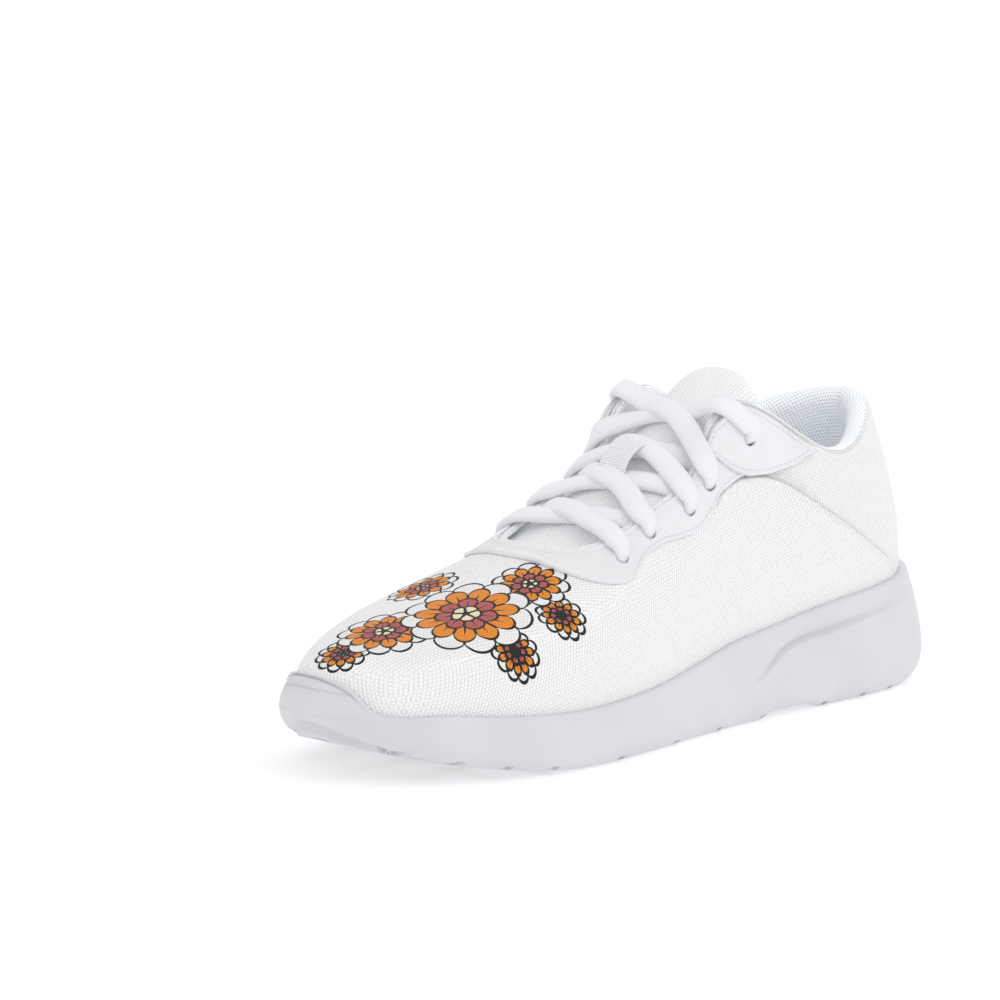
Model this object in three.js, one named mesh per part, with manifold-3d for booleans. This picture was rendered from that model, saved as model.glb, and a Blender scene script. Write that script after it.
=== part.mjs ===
// Low mesh running shoe for the left foot, standing empty on its sole.
// Millimetres. +X points to the toe, +Y to the outer (lateral) side and +Z up, with the floor at z = 0
// and the origin under the middle of the shoe.
//
// The upper, the sole's cup and every overlay come from one family of ribs. A rib starts at the sole's
// edge and runs up over the last to the topline, and the station table below gives each rib its shape.

import * as THREE from "three";
import Module from "manifold-3d";
import { mergeVertices } from "three/addons/utils/BufferGeometryUtils.js";

const wasm = await Module();
wasm.setup();

// Driving sizes of the last and the sole
const LENGTH = 290; // sole, heel to toe
const BALL_WIDTH = 107; // sole, across the ball
const SOLE_SIDE = 42; // height of the sole's side at the back of the heel
const TOE_SPRING = 20; // lift of the sole under the toe tip
const HEEL_BEVEL = 4; // lift of the sole behind the heel
const ARCH_LIFT = 1.6; // lift of the waist between the heel and forefoot pods
const SOLE_FLARE = 8; // how far the sole stands out past its top edge at the heel
const FOOTBED = 26; // height of the footbed under the heel
const BULGE_HEIGHT = 10; // height at which the sole's side is widest
const EDGE_TUCK = 5.5; // how far the tread's edge lies inside the sole's outline
const LIP = 2.8; // sole wall beside the upper, at its top edge
const STEP_DEPTH = 2.0; // depth of the moulded crease in the sole's side
const TREAD_DEPTH = 2.4; // depth of the grooves between the pods
const TREAD_GAP = 3.4; // width of those grooves

// Driving sizes of the upper
const COLLAR_HEIGHT = 100; // floor to the top edge at the back of the heel
const TOPLINE_WIDTH = 66; // across the collar opening, outside
const WALL = 2.2; // mesh and backing
const COLLAR_PAD = 9; // padded collar
const PANEL_STEP = 1.2; // front mesh panel over the collar panel
const GAP = 0.35; // between pieces that touch
const OVERLAY = 1.1; // smooth synthetic of the eyestay and tabs
const OVERLAY_GAP = 0.55; // under each overlay
const EYELET_HOLE = 4.6; // diameter

// Driving sizes of the tongue, insole and lace
const TONGUE_HEIGHT = 1.19 * COLLAR_HEIGHT; // floor to the tongue's top
const TONGUE_WIDTH = 46;
const TONGUE_THICKNESS = 5;
const INSOLE_THICKNESS = 4;
const LACE_WIDTH = 7.6;
const LACE_THICKNESS = 2.8;
const KEEPER_THICKNESS = 1.2; // webbing loop on the tongue

const MATERIALS = {
  sole: { color: 0xe6e5ea, roughness: 0.55 },
  mesh: { color: 0xf4f4f3, roughness: 0.85 },
  smooth: { color: 0xe9e9ee, roughness: 0.5 },
  lining: { color: 0xccd3da, roughness: 0.9 },
  lace: { color: 0xebeaf2, roughness: 0.8 },
};

// One row for each rib of the last, from the toe tip to the back of the heel.
// x is a share of LENGTH from the heel. out and inn are the sole's outline on the lateral and medial
// side, as shares of half BALL_WIDTH. side and bed are heights as shares of SOLE_SIDE and FOOTBED, and
// flare is a share of SOLE_FLARE.
// topX, topY and topZ place the topline, as shares of LENGTH, half TOPLINE_WIDTH and COLLAR_HEIGHT, and
// mid is how much higher it stands on the medial side.
// rise and lean shape the rib's foot, reach and drop its head: rise and drop are shares of
// COLLAR_HEIGHT, lean and reach shares of half BALL_WIDTH. pad is a share of COLLAR_PAD.
// seam is the height of the front panel's edge, as a share of the rib, and step its share of PANEL_STEP.
// crease and dent place the moulded line in the sole's side, as shares of the side and of STEP_DEPTH.
const COLUMNS =
  "x out inn side bed mid flare topX topY topZ rise lean reach drop pad seam step crease dent";
const STATIONS = `
1.000 -.150 -.150 .840 .95 .00  .15 .640 .00 .688 .25  .03 1.24 .27 0.0 .60 0.0 .80 1.0
0.997 -.030 -.260 .830 .94  .00 .15 .640 .14 .686 .25  .03 1.21 .27 0.0 .60 0.0 .80 1.0
0.984  .140 -.370 .765 .86  .00 .16 .640 .26 .684 .25  .03 1.13 .27 0.0 .60 0.0 .78 0.5
0.958  .365 -.540 .575 .76  .00 .20 .638 .37 .682 .26  .03 1.01 .26 0.0 .60 0.0 .70 0.0
0.900  .665 -.770 .560 .64  .00 .25 .632 .47 .682 .27  .02  .79 .25 0.0 .60 0.0 .65 0.0
0.820  .870 -.950 .510 .53  .00 .30 .619 .57 .688 .28  .01  .58 .22 0.0 .60 0.0 .60 0.0
0.730  .965 -1.01 .480 .46  .00 .32 .593 .65 .703 .30  .02  .44 .19 0.0 .60 0.0 .50 0.0
0.640  .940 -.945 .490 .50  .00 .32 .562 .69 .735 .32  .03  .35 .18 0.0 .60 0.0 .40 0.0
0.560  .880 -.825 .530 .58  .00 .34 .519 .72 .788 .33  .03  .26 .17 0.0 .62 0.0 .30 0.0
0.500  .820 -.735 .585 .66  .00 .36 .466 .73 .850 .34  .02  .19 .17 .00 .64 0.0 .20 0.0
0.460  .790 -.690 .640 .72  .00 .38 .436 .72 .935 .35  .01  .15 .19 .05 .66 0.1 .15 0.0
0.420  .763 -.658 .700 .78  .00 .40 .412 .71 1.050 .36 .01  .12 .23 .15 .68 0.6 .14 0.0
0.375  .740 -.640 .740 .84  .00 .42 .369 .73 1.098 .38 .01  .10 .25 .30 .68 1.0 .32 0.4
0.330  .729 -.654 .780 .89  .00 .44 .325 .81 1.045 .38 .02  .10 .25 .60 .69 1.0 .58 1.0
0.280  .722 -.675 .830 .94  .02 .47 .282 .95  .950 .37 .02  .08 .23 .85 .67 1.0 .64 1.0
0.220  .716 -.695 .880 .98  .04 .50 .232 1.00 .872 .34 .03  .08 .21 1.0 .58 1.0 .67 0.9
0.155  .700 -.695 .915 1.0  .045 .56 .184 .94  .874 .32 .05  .09 .21 1.0 .37 0.9 .73 0.5
0.090  .626 -.620 .945 1.0  .035 .68 .134 .72  .930 .33 .06  .12 .22 1.0 .18 0.4 .76 0.2
0.032  .420 -.410 .980 1.0  .01 .88 .092 .40  .985 .35 .06  .12 .24 1.0 .10 0.0 .78 0.0
0.000 -.010 -.010 1.00 1.0 .00  1.0 .069 .00 1.000 .36 .06  .10 .24 1.0 .10 0.0 .80 0.0
`;

const columns = COLUMNS.split(" ");
const rows = STATIONS.trim()
  .split("\n")
  .map((line) => {
    const cells = line.trim().split(/\s+/).map(Number);
    return Object.fromEntries(columns.map((name, i) => [name, cells[i]]));
  });

// The table as a closed ring in millimetres: lateral ribs from toe to heel, then medial ones back.
function inMillimetres(row, side) {
  const half = BALL_WIDTH / 2;
  const topZ = (row.topZ + (side > 0 ? 0 : row.mid)) * COLLAR_HEIGHT;
  const bed = row.bed * FOOTBED;
  return {
    ...row,
    x: (row.x - 0.5) * LENGTH,
    y: (side > 0 ? row.out : row.inn) * half,
    side: row.side * SOLE_SIDE,
    bed,
    flare: row.flare * SOLE_FLARE,
    topX: (row.topX - 0.5) * LENGTH,
    topY: (side * row.topY * TOPLINE_WIDTH) / 2,
    topZ,
    rise: row.rise * COLLAR_HEIGHT,
    lean: row.lean * half,
    reach: row.reach * half,
    drop: row.drop * COLLAR_HEIGHT,
    pad: row.pad * (COLLAR_PAD - WALL),
    step: row.step * PANEL_STEP,
    dent: row.dent * STEP_DEPTH,
  };
}
const ring = [
  ...rows.map((row) => inMillimetres(row, 1)),
  ...rows
    .slice(1, -1)
    .reverse()
    .map((row) => inMillimetres(row, -1)),
];
const HEEL = rows.length - 1; // the ring's index at the back of the heel

// Knots of the ring: distances along the sole's outline.
const knots = [0];
ring.forEach((row, i) => {
  const next = ring[(i + 1) % ring.length];
  knots.push(knots[i] + Math.hypot(next.x - row.x, next.y - row.y));
});
const perimeter = knots[ring.length];

// A column at place u along the ring, where whole numbers are rows: a cubic through the rows.
const found = new Map();
function column(name, u) {
  const key = `${name} ${u}`;
  if (!found.has(key)) found.set(key, interpolate(name, u));
  return found.get(key);
}

function interpolate(name, u) {
  const n = ring.length;
  const at = ((u % n) + n) % n;
  const i = Math.floor(at);
  const value = (k) => ring[(k + n) % n][name];
  const knot = (k) => knots[(k + n) % n] + Math.floor(k / n) * perimeter;
  const slope = (k) =>
    (value(k + 1) - value(k - 1)) / (knot(k + 1) - knot(k - 1));
  const span = knot(i + 1) - knot(i);
  const t = at - i;
  const a = value(i);
  const b = value(i + 1);
  const p = slope(i) * span;
  const q = slope(i + 1) * span;
  return (
    a +
    t * (p + t * (3 * (b - a) - 2 * p - q + t * (2 * (a - b) + p + q)))
  );
}

// The sole's outline at u, with its outward direction in plan.
function outline(u) {
  const e = 0.02;
  const along = new THREE.Vector3(
    column("x", u + e) - column("x", u - e),
    column("y", u + e) - column("y", u - e),
    0,
  ).normalize();
  return {
    point: new THREE.Vector3(column("x", u), column("y", u), 0),
    outward: new THREE.Vector3(along.y, -along.x, 0),
  };
}

// The rib's curve at u and v, from the footbed (v = 0) to the topline (v = 1), with no panel step.
function rib(u, v) {
  const { point, outward } = outline(u);
  const foot = point
    .clone()
    .addScaledVector(outward, -column("flare", u) - LIP)
    .setZ(column("bed", u) + GAP);
  const head = new THREE.Vector3(
    column("topX", u),
    column("topY", u),
    column("topZ", u),
  );
  const lower = foot
    .clone()
    .addScaledVector(outward, column("lean", u))
    .setZ(foot.z + column("rise", u));
  const upper = head
    .clone()
    .addScaledVector(outward, column("reach", u))
    .setZ(head.z - column("drop", u));
  return new THREE.CubicBezierCurve3(foot, lower, upper, head).getPoint(v);
}

// The outward normal of the last at u and v.
function normal(u, v) {
  const e = 0.02;
  const low = Math.max(v - e, 0);
  const high = Math.min(v + e, 1);
  const around = rib(u + e, v).sub(rib(u - e, v));
  const up = rib(u, high).sub(rib(u, low));
  return around.cross(up).normalize();
}

const smooth = (t) => {
  const s = THREE.MathUtils.clamp(t, 0, 1);
  return s * s * (3 - 2 * s);
};

// The upper's outer face: the front panel below the seam stands proud of the collar panel.
const SEAM_FADE = 0.012; // how quickly the panel's edge ends, as a share of the rib
const proud = (u, v) =>
  column("step", u) * smooth((seamAt(u) - v) / SEAM_FADE + 0.5);
const face = (u, v, offset = 0) =>
  rib(u, v).addScaledVector(normal(u, v), proud(u, v) + offset);

// Wall thickness: the collar's padding swells towards the topline.
const PAD_START = 0.4; // share of the rib where the padding starts
const wall = (u, v) =>
  WALL + column("pad", u) * smooth((v - PAD_START) / (0.85 - PAD_START));

// The place on the rib at height z.
function heightOnRib(u, z) {
  let low = 0;
  let high = 1;
  for (let i = 0; i < 24; i++) {
    const mid = (low + high) / 2;
    if (rib(u, mid).z < z) low = mid;
    else high = mid;
  }
  return (low + high) / 2;
}

// The place on the rib of the sole's top edge.
const CUP_ROWS = 2; // rows of the cup's wall, which the upper shares
const LIP_ROUND = 0.004; // how far the lip's rounded top stands over it, as a share of the rib
const lips = new Map();
function lip(u) {
  if (!lips.has(u)) lips.set(u, heightOnRib(u, column("side", u)));
  return lips.get(u);
}

// The place on the rib where the front panel ends, kept above the sole's edge.
const seamAt = (u) => Math.max(column("seam", u), lip(u) + 0.05);

// Mesh building

const PER_ROW = 2; // ribs drawn for each row of the ring
const COUNT = ring.length * PER_ROW;
const placeOf = (i) => i / PER_ROW;
const ringAt = (make) =>
  Array.from({ length: COUNT }, (_, i) => make(placeOf(i)));

// Quads between successive closed rings, as triangles across the shorter diagonal where points are given.
function ringFaces(ringCount, size, closed, points) {
  const faces = [];
  const last = closed ? ringCount : ringCount - 1;
  for (let r = 0; r < last; r++) {
    const a = r * size;
    const b = ((r + 1) % ringCount) * size;
    for (let i = 0; i < size; i++) {
      const j = (i + 1) % size;
      const [p, q, r, s] = [a + i, a + j, b + j, b + i];
      const turned =
        points &&
        points[q].distanceTo(points[s]) < points[p].distanceTo(points[r]);
      faces.push(...(turned ? [p, q, s, q, r, s] : [p, q, r, p, r, s]));
    }
  }
  return faces;
}

// A cap over a ring: rungs join each lateral place to the medial one across from it.
function cap(points, start, across, heightAt, flip) {
  const half = COUNT / 2;
  const faces = [];
  const rungs = [];
  for (let i = 0; i <= half; i++) {
    const j = (COUNT - i) % COUNT;
    const rung = [start + i];
    if (i > 0 && i < half)
      for (let k = 1; k < across; k++) {
        const p = points[start + i].clone().lerp(points[start + j], k / across);
        p.z = heightAt(p);
        rung.push(points.length);
        points.push(p);
      }
    rung.push(start + j);
    rungs.push(rung);
  }
  const add = (a, b, c) => {
    if (a !== b && b !== c && a !== c)
      faces.push(...(flip ? [a, c, b] : [a, b, c]));
  };
  for (let i = 0; i < half; i++) {
    const [one, two] = [rungs[i], rungs[i + 1]];
    for (let k = 0; k < across; k++) {
      const pick = (rung, n) => rung[rung.length === 2 ? Math.sign(n) : n];
      add(pick(one, k), pick(two, k), pick(two, k + 1));
      add(pick(one, k), pick(two, k + 1), pick(one, k + 1));
    }
  }
  return faces;
}

function geometryOf(points, faces) {
  const geometry = new THREE.BufferGeometry().setFromPoints(points);
  geometry.setIndex(faces);
  return geometry;
}

function toSolid(geometry) {
  const bare = geometry.clone();
  bare.deleteAttribute("normal");
  bare.deleteAttribute("uv");
  const merged = mergeVertices(bare, 1e-3);
  return new wasm.Manifold(
    new wasm.Mesh({
      numProp: 3,
      vertProperties: merged.attributes.position.array,
      triVerts: new Uint32Array(merged.index.array),
    }),
  );
}

function toGeometry(solid) {
  const mesh = solid.getMesh();
  return new THREE.BufferGeometry()
    .setAttribute(
      "position",
      new THREE.BufferAttribute(mesh.vertProperties, mesh.numProp),
    )
    .setIndex(new THREE.BufferAttribute(mesh.triVerts, 1));
}

// The sole: one moulded unit with its cup, toe guard, side crease and pods

// Height of the tread at a place along the shoe: toe spring, raised waist and bevelled heel.
const TREAD_LINE = new THREE.SplineCurve(
  [
    [0, HEEL_BEVEL],
    [0.05, HEEL_BEVEL * 0.35],
    [0.1, 0],
    [0.255, 0],
    [0.28, ARCH_LIFT],
    [0.35, ARCH_LIFT],
    [0.37, 0],
    [0.67, 0],
    [0.78, TOE_SPRING * 0.08],
    [0.835, TOE_SPRING * 0.19],
    [0.893, TOE_SPRING * 0.35],
    [0.941, TOE_SPRING * 0.54],
    [0.976, TOE_SPRING * 0.76],
    [1, TOE_SPRING],
  ].map(([share, z]) => new THREE.Vector2((share - 0.5) * LENGTH, z)),
);
const treadPoints = TREAD_LINE.getPoints(240);
function treadHeight(x) {
  const i = treadPoints.findIndex((p) => p.x >= x);
  if (i < 0) return treadPoints.at(-1).y;
  if (i === 0) return treadPoints[0].y;
  const [a, b] = [treadPoints[i - 1], treadPoints[i]];
  return Math.max(0, a.y + ((b.y - a.y) * (x - a.x)) / (b.x - a.x));
}

// A point inset from the sole's outline, at a height.
function sidePoint(u, inset, z) {
  const { point, outward } = outline(u);
  return point.addScaledVector(outward, -inset).setZ(z);
}

// The side's line at share h of its height runs in from the outline to the lip around the upper. Above
// the crease it is dented, and the dent runs out upwards.
const CREASE_FADE = 0.3; // share of the side over which the dent runs out
const SIDE_CURVE = 1.6; // how late the side turns in
function sideLine(u, h) {
  const { point, outward } = outline(u);
  const base = treadHeight(column("x", u)) + BULGE_HEIGHT;
  const top = face(u, lip(u), LIP);
  const above = (h - column("crease", u)) / CREASE_FADE;
  const dent = above >= 0 ? column("dent", u) * (1 - smooth(above)) : 0;
  const plan = point.lerp(top.clone().setZ(0), h ** SIDE_CURVE);
  return plan
    .addScaledVector(outward, -dent)
    .setZ(THREE.MathUtils.lerp(base, top.z, h));
}

function edgeRing(insetShare, heightShare) {
  return ringAt((u) => {
    const low = treadHeight(column("x", u));
    return sidePoint(u, EDGE_TUCK * insetShare, low + BULGE_HEIGHT * heightShare);
  });
}

const CREASE_EDGE = 0.015; // half the crease's own height, as a share of the side

function soleBody() {
  const below = (t) => (u) => (column("crease", u) - CREASE_EDGE) * t;
  const above = (t) => (u) =>
    THREE.MathUtils.lerp(column("crease", u) + CREASE_EDGE, 1, t);
  const sideRing = (shareAt) => ringAt((u) => sideLine(u, shareAt(u)));
  const rings = [
    edgeRing(1, 0),
    edgeRing(0.42, 0.2),
    edgeRing(0.1, 0.55),
    sideRing(below(0)),
    sideRing(below(0.5)),
    sideRing(below(1)),
    sideRing(above(0)),
    sideRing(above(0.4)),
    sideRing(above(0.94)),
    ringAt((u) => face(u, lip(u) + LIP_ROUND, LIP * 0.6)),
  ];
  for (let k = CUP_ROWS; k >= 0; k--)
    rings.push(ringAt((u) => cupPoint(u, k / CUP_ROWS)));
  const points = rings.flat();
  const faces = ringFaces(rings.length, COUNT, false, points);
  faces.push(...cap(points, 0, 4, (p) => treadHeight(p.x), true));
  const bedStart = (rings.length - 1) * COUNT;
  faces.push(...cap(points, bedStart, 4, (p) => bedAt(p.x), false));
  return toSolid(geometryOf(points, faces));
}

// The cup's wall, a gap outside the upper, from the footbed (share 0) to the lip (share 1).
function cupPoint(u, share) {
  const p = face(u, lip(u) * share, GAP);
  return share ? p : p.setZ(column("bed", u));
}

// Height of the footbed at a place along the shoe.
const bedPoints = Array.from({ length: HEEL * 4 + 1 }, (_, i) => {
  const u = HEEL - i / 4;
  return { x: column("x", u), z: column("bed", u) };
});
function bedAt(x) {
  const i = bedPoints.findIndex((p) => p.x >= x);
  if (i < 0) return bedPoints.at(-1).z;
  if (i === 0) return bedPoints[0].z;
  const [a, b] = [bedPoints[i - 1], bedPoints[i]];
  return a.z + ((b.z - a.z) * (x - a.x)) / (b.x - a.x);
}

// Grooves of the tread. A cross groove runs across at a share of LENGTH, and a long one along it.
const CROSS_GROOVES = [
  0.045, 0.085, 0.13, 0.185, 0.255, 0.37, 0.455, 0.545, 0.655, 0.765, 0.825, 0.88, 0.93,
];
const LONG_GROOVES = [
  { from: 0.04, to: 0.33, y: 0.22 },
  { from: 0.04, to: 0.33, y: -0.26 },
  { from: 0.47, to: 0.95, y: 0.3 },
  { from: 0.47, to: 0.965, y: -0.15 },
  { from: 0.47, to: 0.95, y: -0.58 },
];

// A cutter under the tread: its top follows the tread at the groove's depth.
const CUTTER_DEPTH = 10; // how far it reaches below the floor
const CUTTER_STEP = 12; // along the tread
function grooveCutter(fromX, toX, fromY, toY) {
  const steps = Math.max(1, Math.round((toX - fromX) / CUTTER_STEP));
  const shape = new THREE.Shape();
  shape.moveTo(fromX, -CUTTER_DEPTH);
  for (let k = 0; k <= steps; k++) {
    const x = fromX + ((toX - fromX) * k) / steps;
    shape.lineTo(x, treadHeight(x) + TREAD_DEPTH);
  }
  shape.lineTo(toX, -CUTTER_DEPTH);
  const geometry = new THREE.ExtrudeGeometry(shape, {
    depth: toY - fromY,
    bevelEnabled: false,
  });
  geometry.rotateX(Math.PI / 2).translate(0, toY, 0);
  return toSolid(geometry);
}

function soleMesh() {
  let solid = soleBody();
  const atShare = (share) => (share - 0.5) * LENGTH;
  const cutters = [
    ...CROSS_GROOVES.map((share) => {
      const x = atShare(share) - TREAD_GAP / 2;
      return grooveCutter(x, x + TREAD_GAP, -BALL_WIDTH, BALL_WIDTH);
    }),
    ...LONG_GROOVES.map(({ from, to, y }) => {
      const low = (y * BALL_WIDTH) / 2 - TREAD_GAP / 2;
      return grooveCutter(atShare(from), atShare(to), low, low + TREAD_GAP);
    }),
  ];
  for (const cutter of cutters) solid = solid.subtract(cutter);
  return toGeometry(solid);
}

// The upper: one hollow shell, open at the throat, the collar and underneath

const BELOW_SEAM = [0.25, 0.5, 0.78, 1]; // shares of the way from the sole's edge to the seam
const ABOVE_SEAM = [0, 0.33, 0.66, 1]; // and from the seam to the topline
const INNER_ROWS = [1, 0.84, 0.64, 0.42, 0.2, 0];

function upperRings() {
  const rings = [];
  for (let k = 0; k <= CUP_ROWS; k++)
    rings.push(ringAt((u) => face(u, (lip(u) * k) / CUP_ROWS)));
  for (const share of BELOW_SEAM)
    rings.push(
      ringAt((u) => {
        const end = seamAt(u) - SEAM_FADE / 2;
        return face(u, THREE.MathUtils.lerp(lip(u), end, share));
      }),
    );
  for (const share of ABOVE_SEAM)
    rings.push(
      ringAt((u) => {
        const start = seamAt(u) + SEAM_FADE / 2;
        return face(u, THREE.MathUtils.lerp(start, 1, share));
      }),
    );
  const inner = (u, v) => rib(u, v).addScaledVector(normal(u, v), -wall(u, v));
  const roll = (angle) =>
    ringAt((u) => {
      const [out, inside] = [face(u, 1), inner(u, 1)];
      const up = rib(u, 1).sub(rib(u, 0.97)).normalize();
      const middle = out.clone().lerp(inside, 0.5);
      const arm = out.clone().sub(middle);
      return middle
        .addScaledVector(arm, Math.cos(angle))
        .addScaledVector(up, arm.length() * Math.sin(angle));
    });
  rings.push(roll(Math.PI / 4), roll(Math.PI / 2), roll((3 * Math.PI) / 4));
  for (const v of INNER_ROWS) rings.push(ringAt((u) => inner(u, v)));
  return rings;
}

function upperSolid() {
  const rings = upperRings();
  const points = rings.flat();
  const faces = ringFaces(rings.length, COUNT, true, points);
  return toSolid(geometryOf(points, faces));
}

// A point over the upper that clears the front panel's step on both sides of the seam.
const over = (u, v, offset) =>
  rib(u, v).addScaledVector(normal(u, v), Math.max(0, column("step", u)) + offset);

// A shell over the upper. Each row of its edge is a ring place and the shell's lower end there, as a
// share of the rib, and it runs up from there to the topline.
const OVERLAY_TOP = 0.985; // share of the rib where an overlay ends below the rim
function overlay({ edge, inner, rows: up }) {
  const across = edge.length - 1;
  const layer = (offset) =>
    edge.flatMap(([u, low]) =>
      Array.from({ length: up + 1 }, (_, k) =>
        over(u, THREE.MathUtils.lerp(low, OVERLAY_TOP, k / up), offset),
      ),
    );
  const points = [...layer(inner), ...layer(inner + OVERLAY)];
  const size = edge.length * (up + 1);
  const at = (i, k, top) => top * size + i * (up + 1) + k;
  const faces = [];
  const quad = (a, b, c, d) => faces.push(a, b, c, a, c, d);
  for (let i = 0; i < across; i++) {
    const j = i + 1;
    for (let k = 0; k < up; k++) {
      quad(at(i, k, 1), at(j, k, 1), at(j, k + 1, 1), at(i, k + 1, 1));
      quad(at(i, k, 0), at(i, k + 1, 0), at(j, k + 1, 0), at(j, k, 0));
    }
    quad(at(i, 0, 0), at(j, 0, 0), at(j, 0, 1), at(i, 0, 1));
    quad(at(i, up, 1), at(j, up, 1), at(j, up, 0), at(i, up, 0));
  }
  for (const [i, near, far] of [
    [0, 0, 1],
    [across, 1, 0],
  ])
    for (let k = 0; k < up; k++)
      quad(at(i, k, near), at(i, k, far), at(i, k + 1, far), at(i, k + 1, near));
  return toSolid(geometryOf(points, faces));
}

// The eyestay around the throat, from its middle up the lateral side. The medial half mirrors it.
const STAY_EDGE = [
  [0, 0.95],
  [1, 0.95],
  [2, 0.945],
  [3, 0.93],
  [4, 0.9],
  [5, 0.84],
  [5.5, 0.8],
  [6, 0.76],
  [6.25, 0.745],
  [6.5, 0.74],
  [6.75, 0.76],
  [7, 0.79],
  [7.25, 0.81],
  [7.5, 0.81],
  [8, 0.79],
  [8.5, 0.75],
  [9, 0.715],
  [9.5, 0.7],
  [10, 0.7],
  [10.5, 0.705],
  [11, 0.69],
  [11.5, 0.69],
  [12, 0.69],
];

// The tab over the eyestay's upper end, in the same columns.
const TAB_EDGE = [
  [10.25, 0.96],
  [10.5, 0.91],
  [10.75, 0.855],
  [11, 0.8],
  [11.25, 0.75],
  [11.5, 0.715],
  [11.75, 0.69],
  [12, 0.68],
  [12.5, 0.695],
  [13, 0.74],
  [13.5, 0.815],
  [13.75, 0.87],
  [14, 0.925],
  [14.25, 0.965],
];
const mirrored = (edge) => edge.map(([u, v]) => [-u, v]).reverse();

// Eyelet pairs from the toe upwards, at the same columns.
const EYELETS = [
  [6.3, 0.88],
  [7.6, 0.9],
  [8.9, 0.86],
  [10.1, 0.83],
  [12, 0.84],
];
const eyelet = (pair, side, offset) =>
  over(side * EYELETS[pair][0], EYELETS[pair][1], offset);

function eyeletCutters() {
  return EYELETS.flatMap((_, pair) =>
    [1, -1].map((side) => {
      const axis = eyelet(pair, side, 1).sub(eyelet(pair, side, 0)).normalize();
      const geometry = new THREE.CylinderGeometry(
        EYELET_HOLE / 2,
        EYELET_HOLE / 2,
        6 * OVERLAY + 4 * WALL,
        6,
      );
      const turn = new THREE.Quaternion().setFromUnitVectors(
        new THREE.Vector3(0, 1, 0),
        axis,
      );
      geometry.applyQuaternion(turn).translate(...eyelet(pair, side, 0));
      return toSolid(geometry);
    }),
  );
}

// The tongue: each row is its middle line's x and z, half width and how far its edges hang, with x as
// a share of LENGTH, z of TONGUE_HEIGHT, and half and hang of TONGUE_WIDTH.
const TONGUE_ROWS = [
  { x: 0.683, z: 0.508, half: 0.3, hang: 0.06, thick: 0.5 },
  { x: 0.638, z: 0.542, half: 0.35, hang: 0.09, thick: 0.6 },
  { x: 0.603, z: 0.571, half: 0.4, hang: 0.11, thick: 0.7 },
  { x: 0.566, z: 0.618, half: 0.45, hang: 0.13, thick: 0.8 },
  { x: 0.51, z: 0.697, half: 0.49, hang: 0.15, thick: 1 },
  { x: 0.448, z: 0.79, half: 0.46, hang: 0.15, thick: 1 },
  { x: 0.407, z: 0.866, half: 0.43, hang: 0.15, thick: 1 },
  { x: 0.362, z: 0.941, half: 0.43, hang: 0.15, thick: 1 },
  { x: 0.328, z: 0.987, half: 0.42, hang: 0.13, thick: 1 },
  { x: 0.307, z: 1.0, half: 0.3, hang: 0.08, thick: 0.8 },
];
const TONGUE_ACROSS = 6; // strips across the tongue
const TONGUE_STEPS = 12; // and along it

const tongueLine = new THREE.CatmullRomCurve3(
  TONGUE_ROWS.map(
    ({ x, z }) => new THREE.Vector3((x - 0.5) * LENGTH, 0, z * TONGUE_HEIGHT),
  ),
);

// A tongue column at place t along its rows, from 0 at the toe end to 1 at the top.
function tongueValue(name, t) {
  const at = t * (TONGUE_ROWS.length - 1);
  const i = Math.min(Math.floor(at), TONGUE_ROWS.length - 2);
  return THREE.MathUtils.lerp(
    TONGUE_ROWS[i][name],
    TONGUE_ROWS[i + 1][name],
    at - i,
  );
}

// A point of the tongue: w runs across from -1 to 1, and depth is measured down from its top face.
function tonguePoint(t, w, depth) {
  const along = tongueLine.getTangent(t);
  const upward = new THREE.Vector3(-along.z, 0, along.x);
  if (upward.z < 0) upward.negate();
  const hang = tongueValue("hang", t) * TONGUE_WIDTH * w * w;
  return tongueLine
    .getPoint(t)
    .setY(w * tongueValue("half", t) * TONGUE_WIDTH)
    .addScaledVector(upward, -hang - depth);
}

// The tongue's outward normal there.
function tongueUp(t, w) {
  const e = 0.01;
  const along = tonguePoint(t + e, w, 0).sub(tonguePoint(t - e, w, 0));
  const across = tonguePoint(t, w + e, 0).sub(tonguePoint(t, w - e, 0));
  return across.cross(along).normalize();
}

// A strap through closed sections. The first half of a section is its top face and the second half runs
// back under it, so each end is capped by strips between the two.
function strapSolid(sections) {
  const size = sections[0].length;
  const faces = ringFaces(sections.length, size, false);
  const capStart = (sections.length - 1) * size;
  for (let k = 0; k < size / 2 - 1; k++) {
    const [a, b, c, d] = [k, k + 1, size - 2 - k, size - 1 - k];
    faces.push(a, c, b, a, d, c);
    faces.push(...[a, b, c, a, c, d].map((i) => i + capStart));
  }
  return toSolid(geometryOf(sections.flat(), faces));
}

function tongueSolid() {
  const steps = TONGUE_STEPS;
  const sections = Array.from({ length: steps + 1 }, (_, i) => {
    const t = i / steps;
    const thick = tongueValue("thick", t) * TONGUE_THICKNESS;
    const top = [];
    const under = [];
    for (let k = 0; k <= TONGUE_ACROSS; k++) {
      const w = (2 * k) / TONGUE_ACROSS - 1;
      const full = Math.max(0.3, Math.sqrt(1 - w ** 4));
      top.push(tonguePoint(t, w, (thick * (1 - full)) / 2));
      under.push(tonguePoint(t, w, (thick * (1 + full)) / 2));
    }
    return [...top, ...under.reverse()];
  });
  return strapSolid(sections);
}

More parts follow.
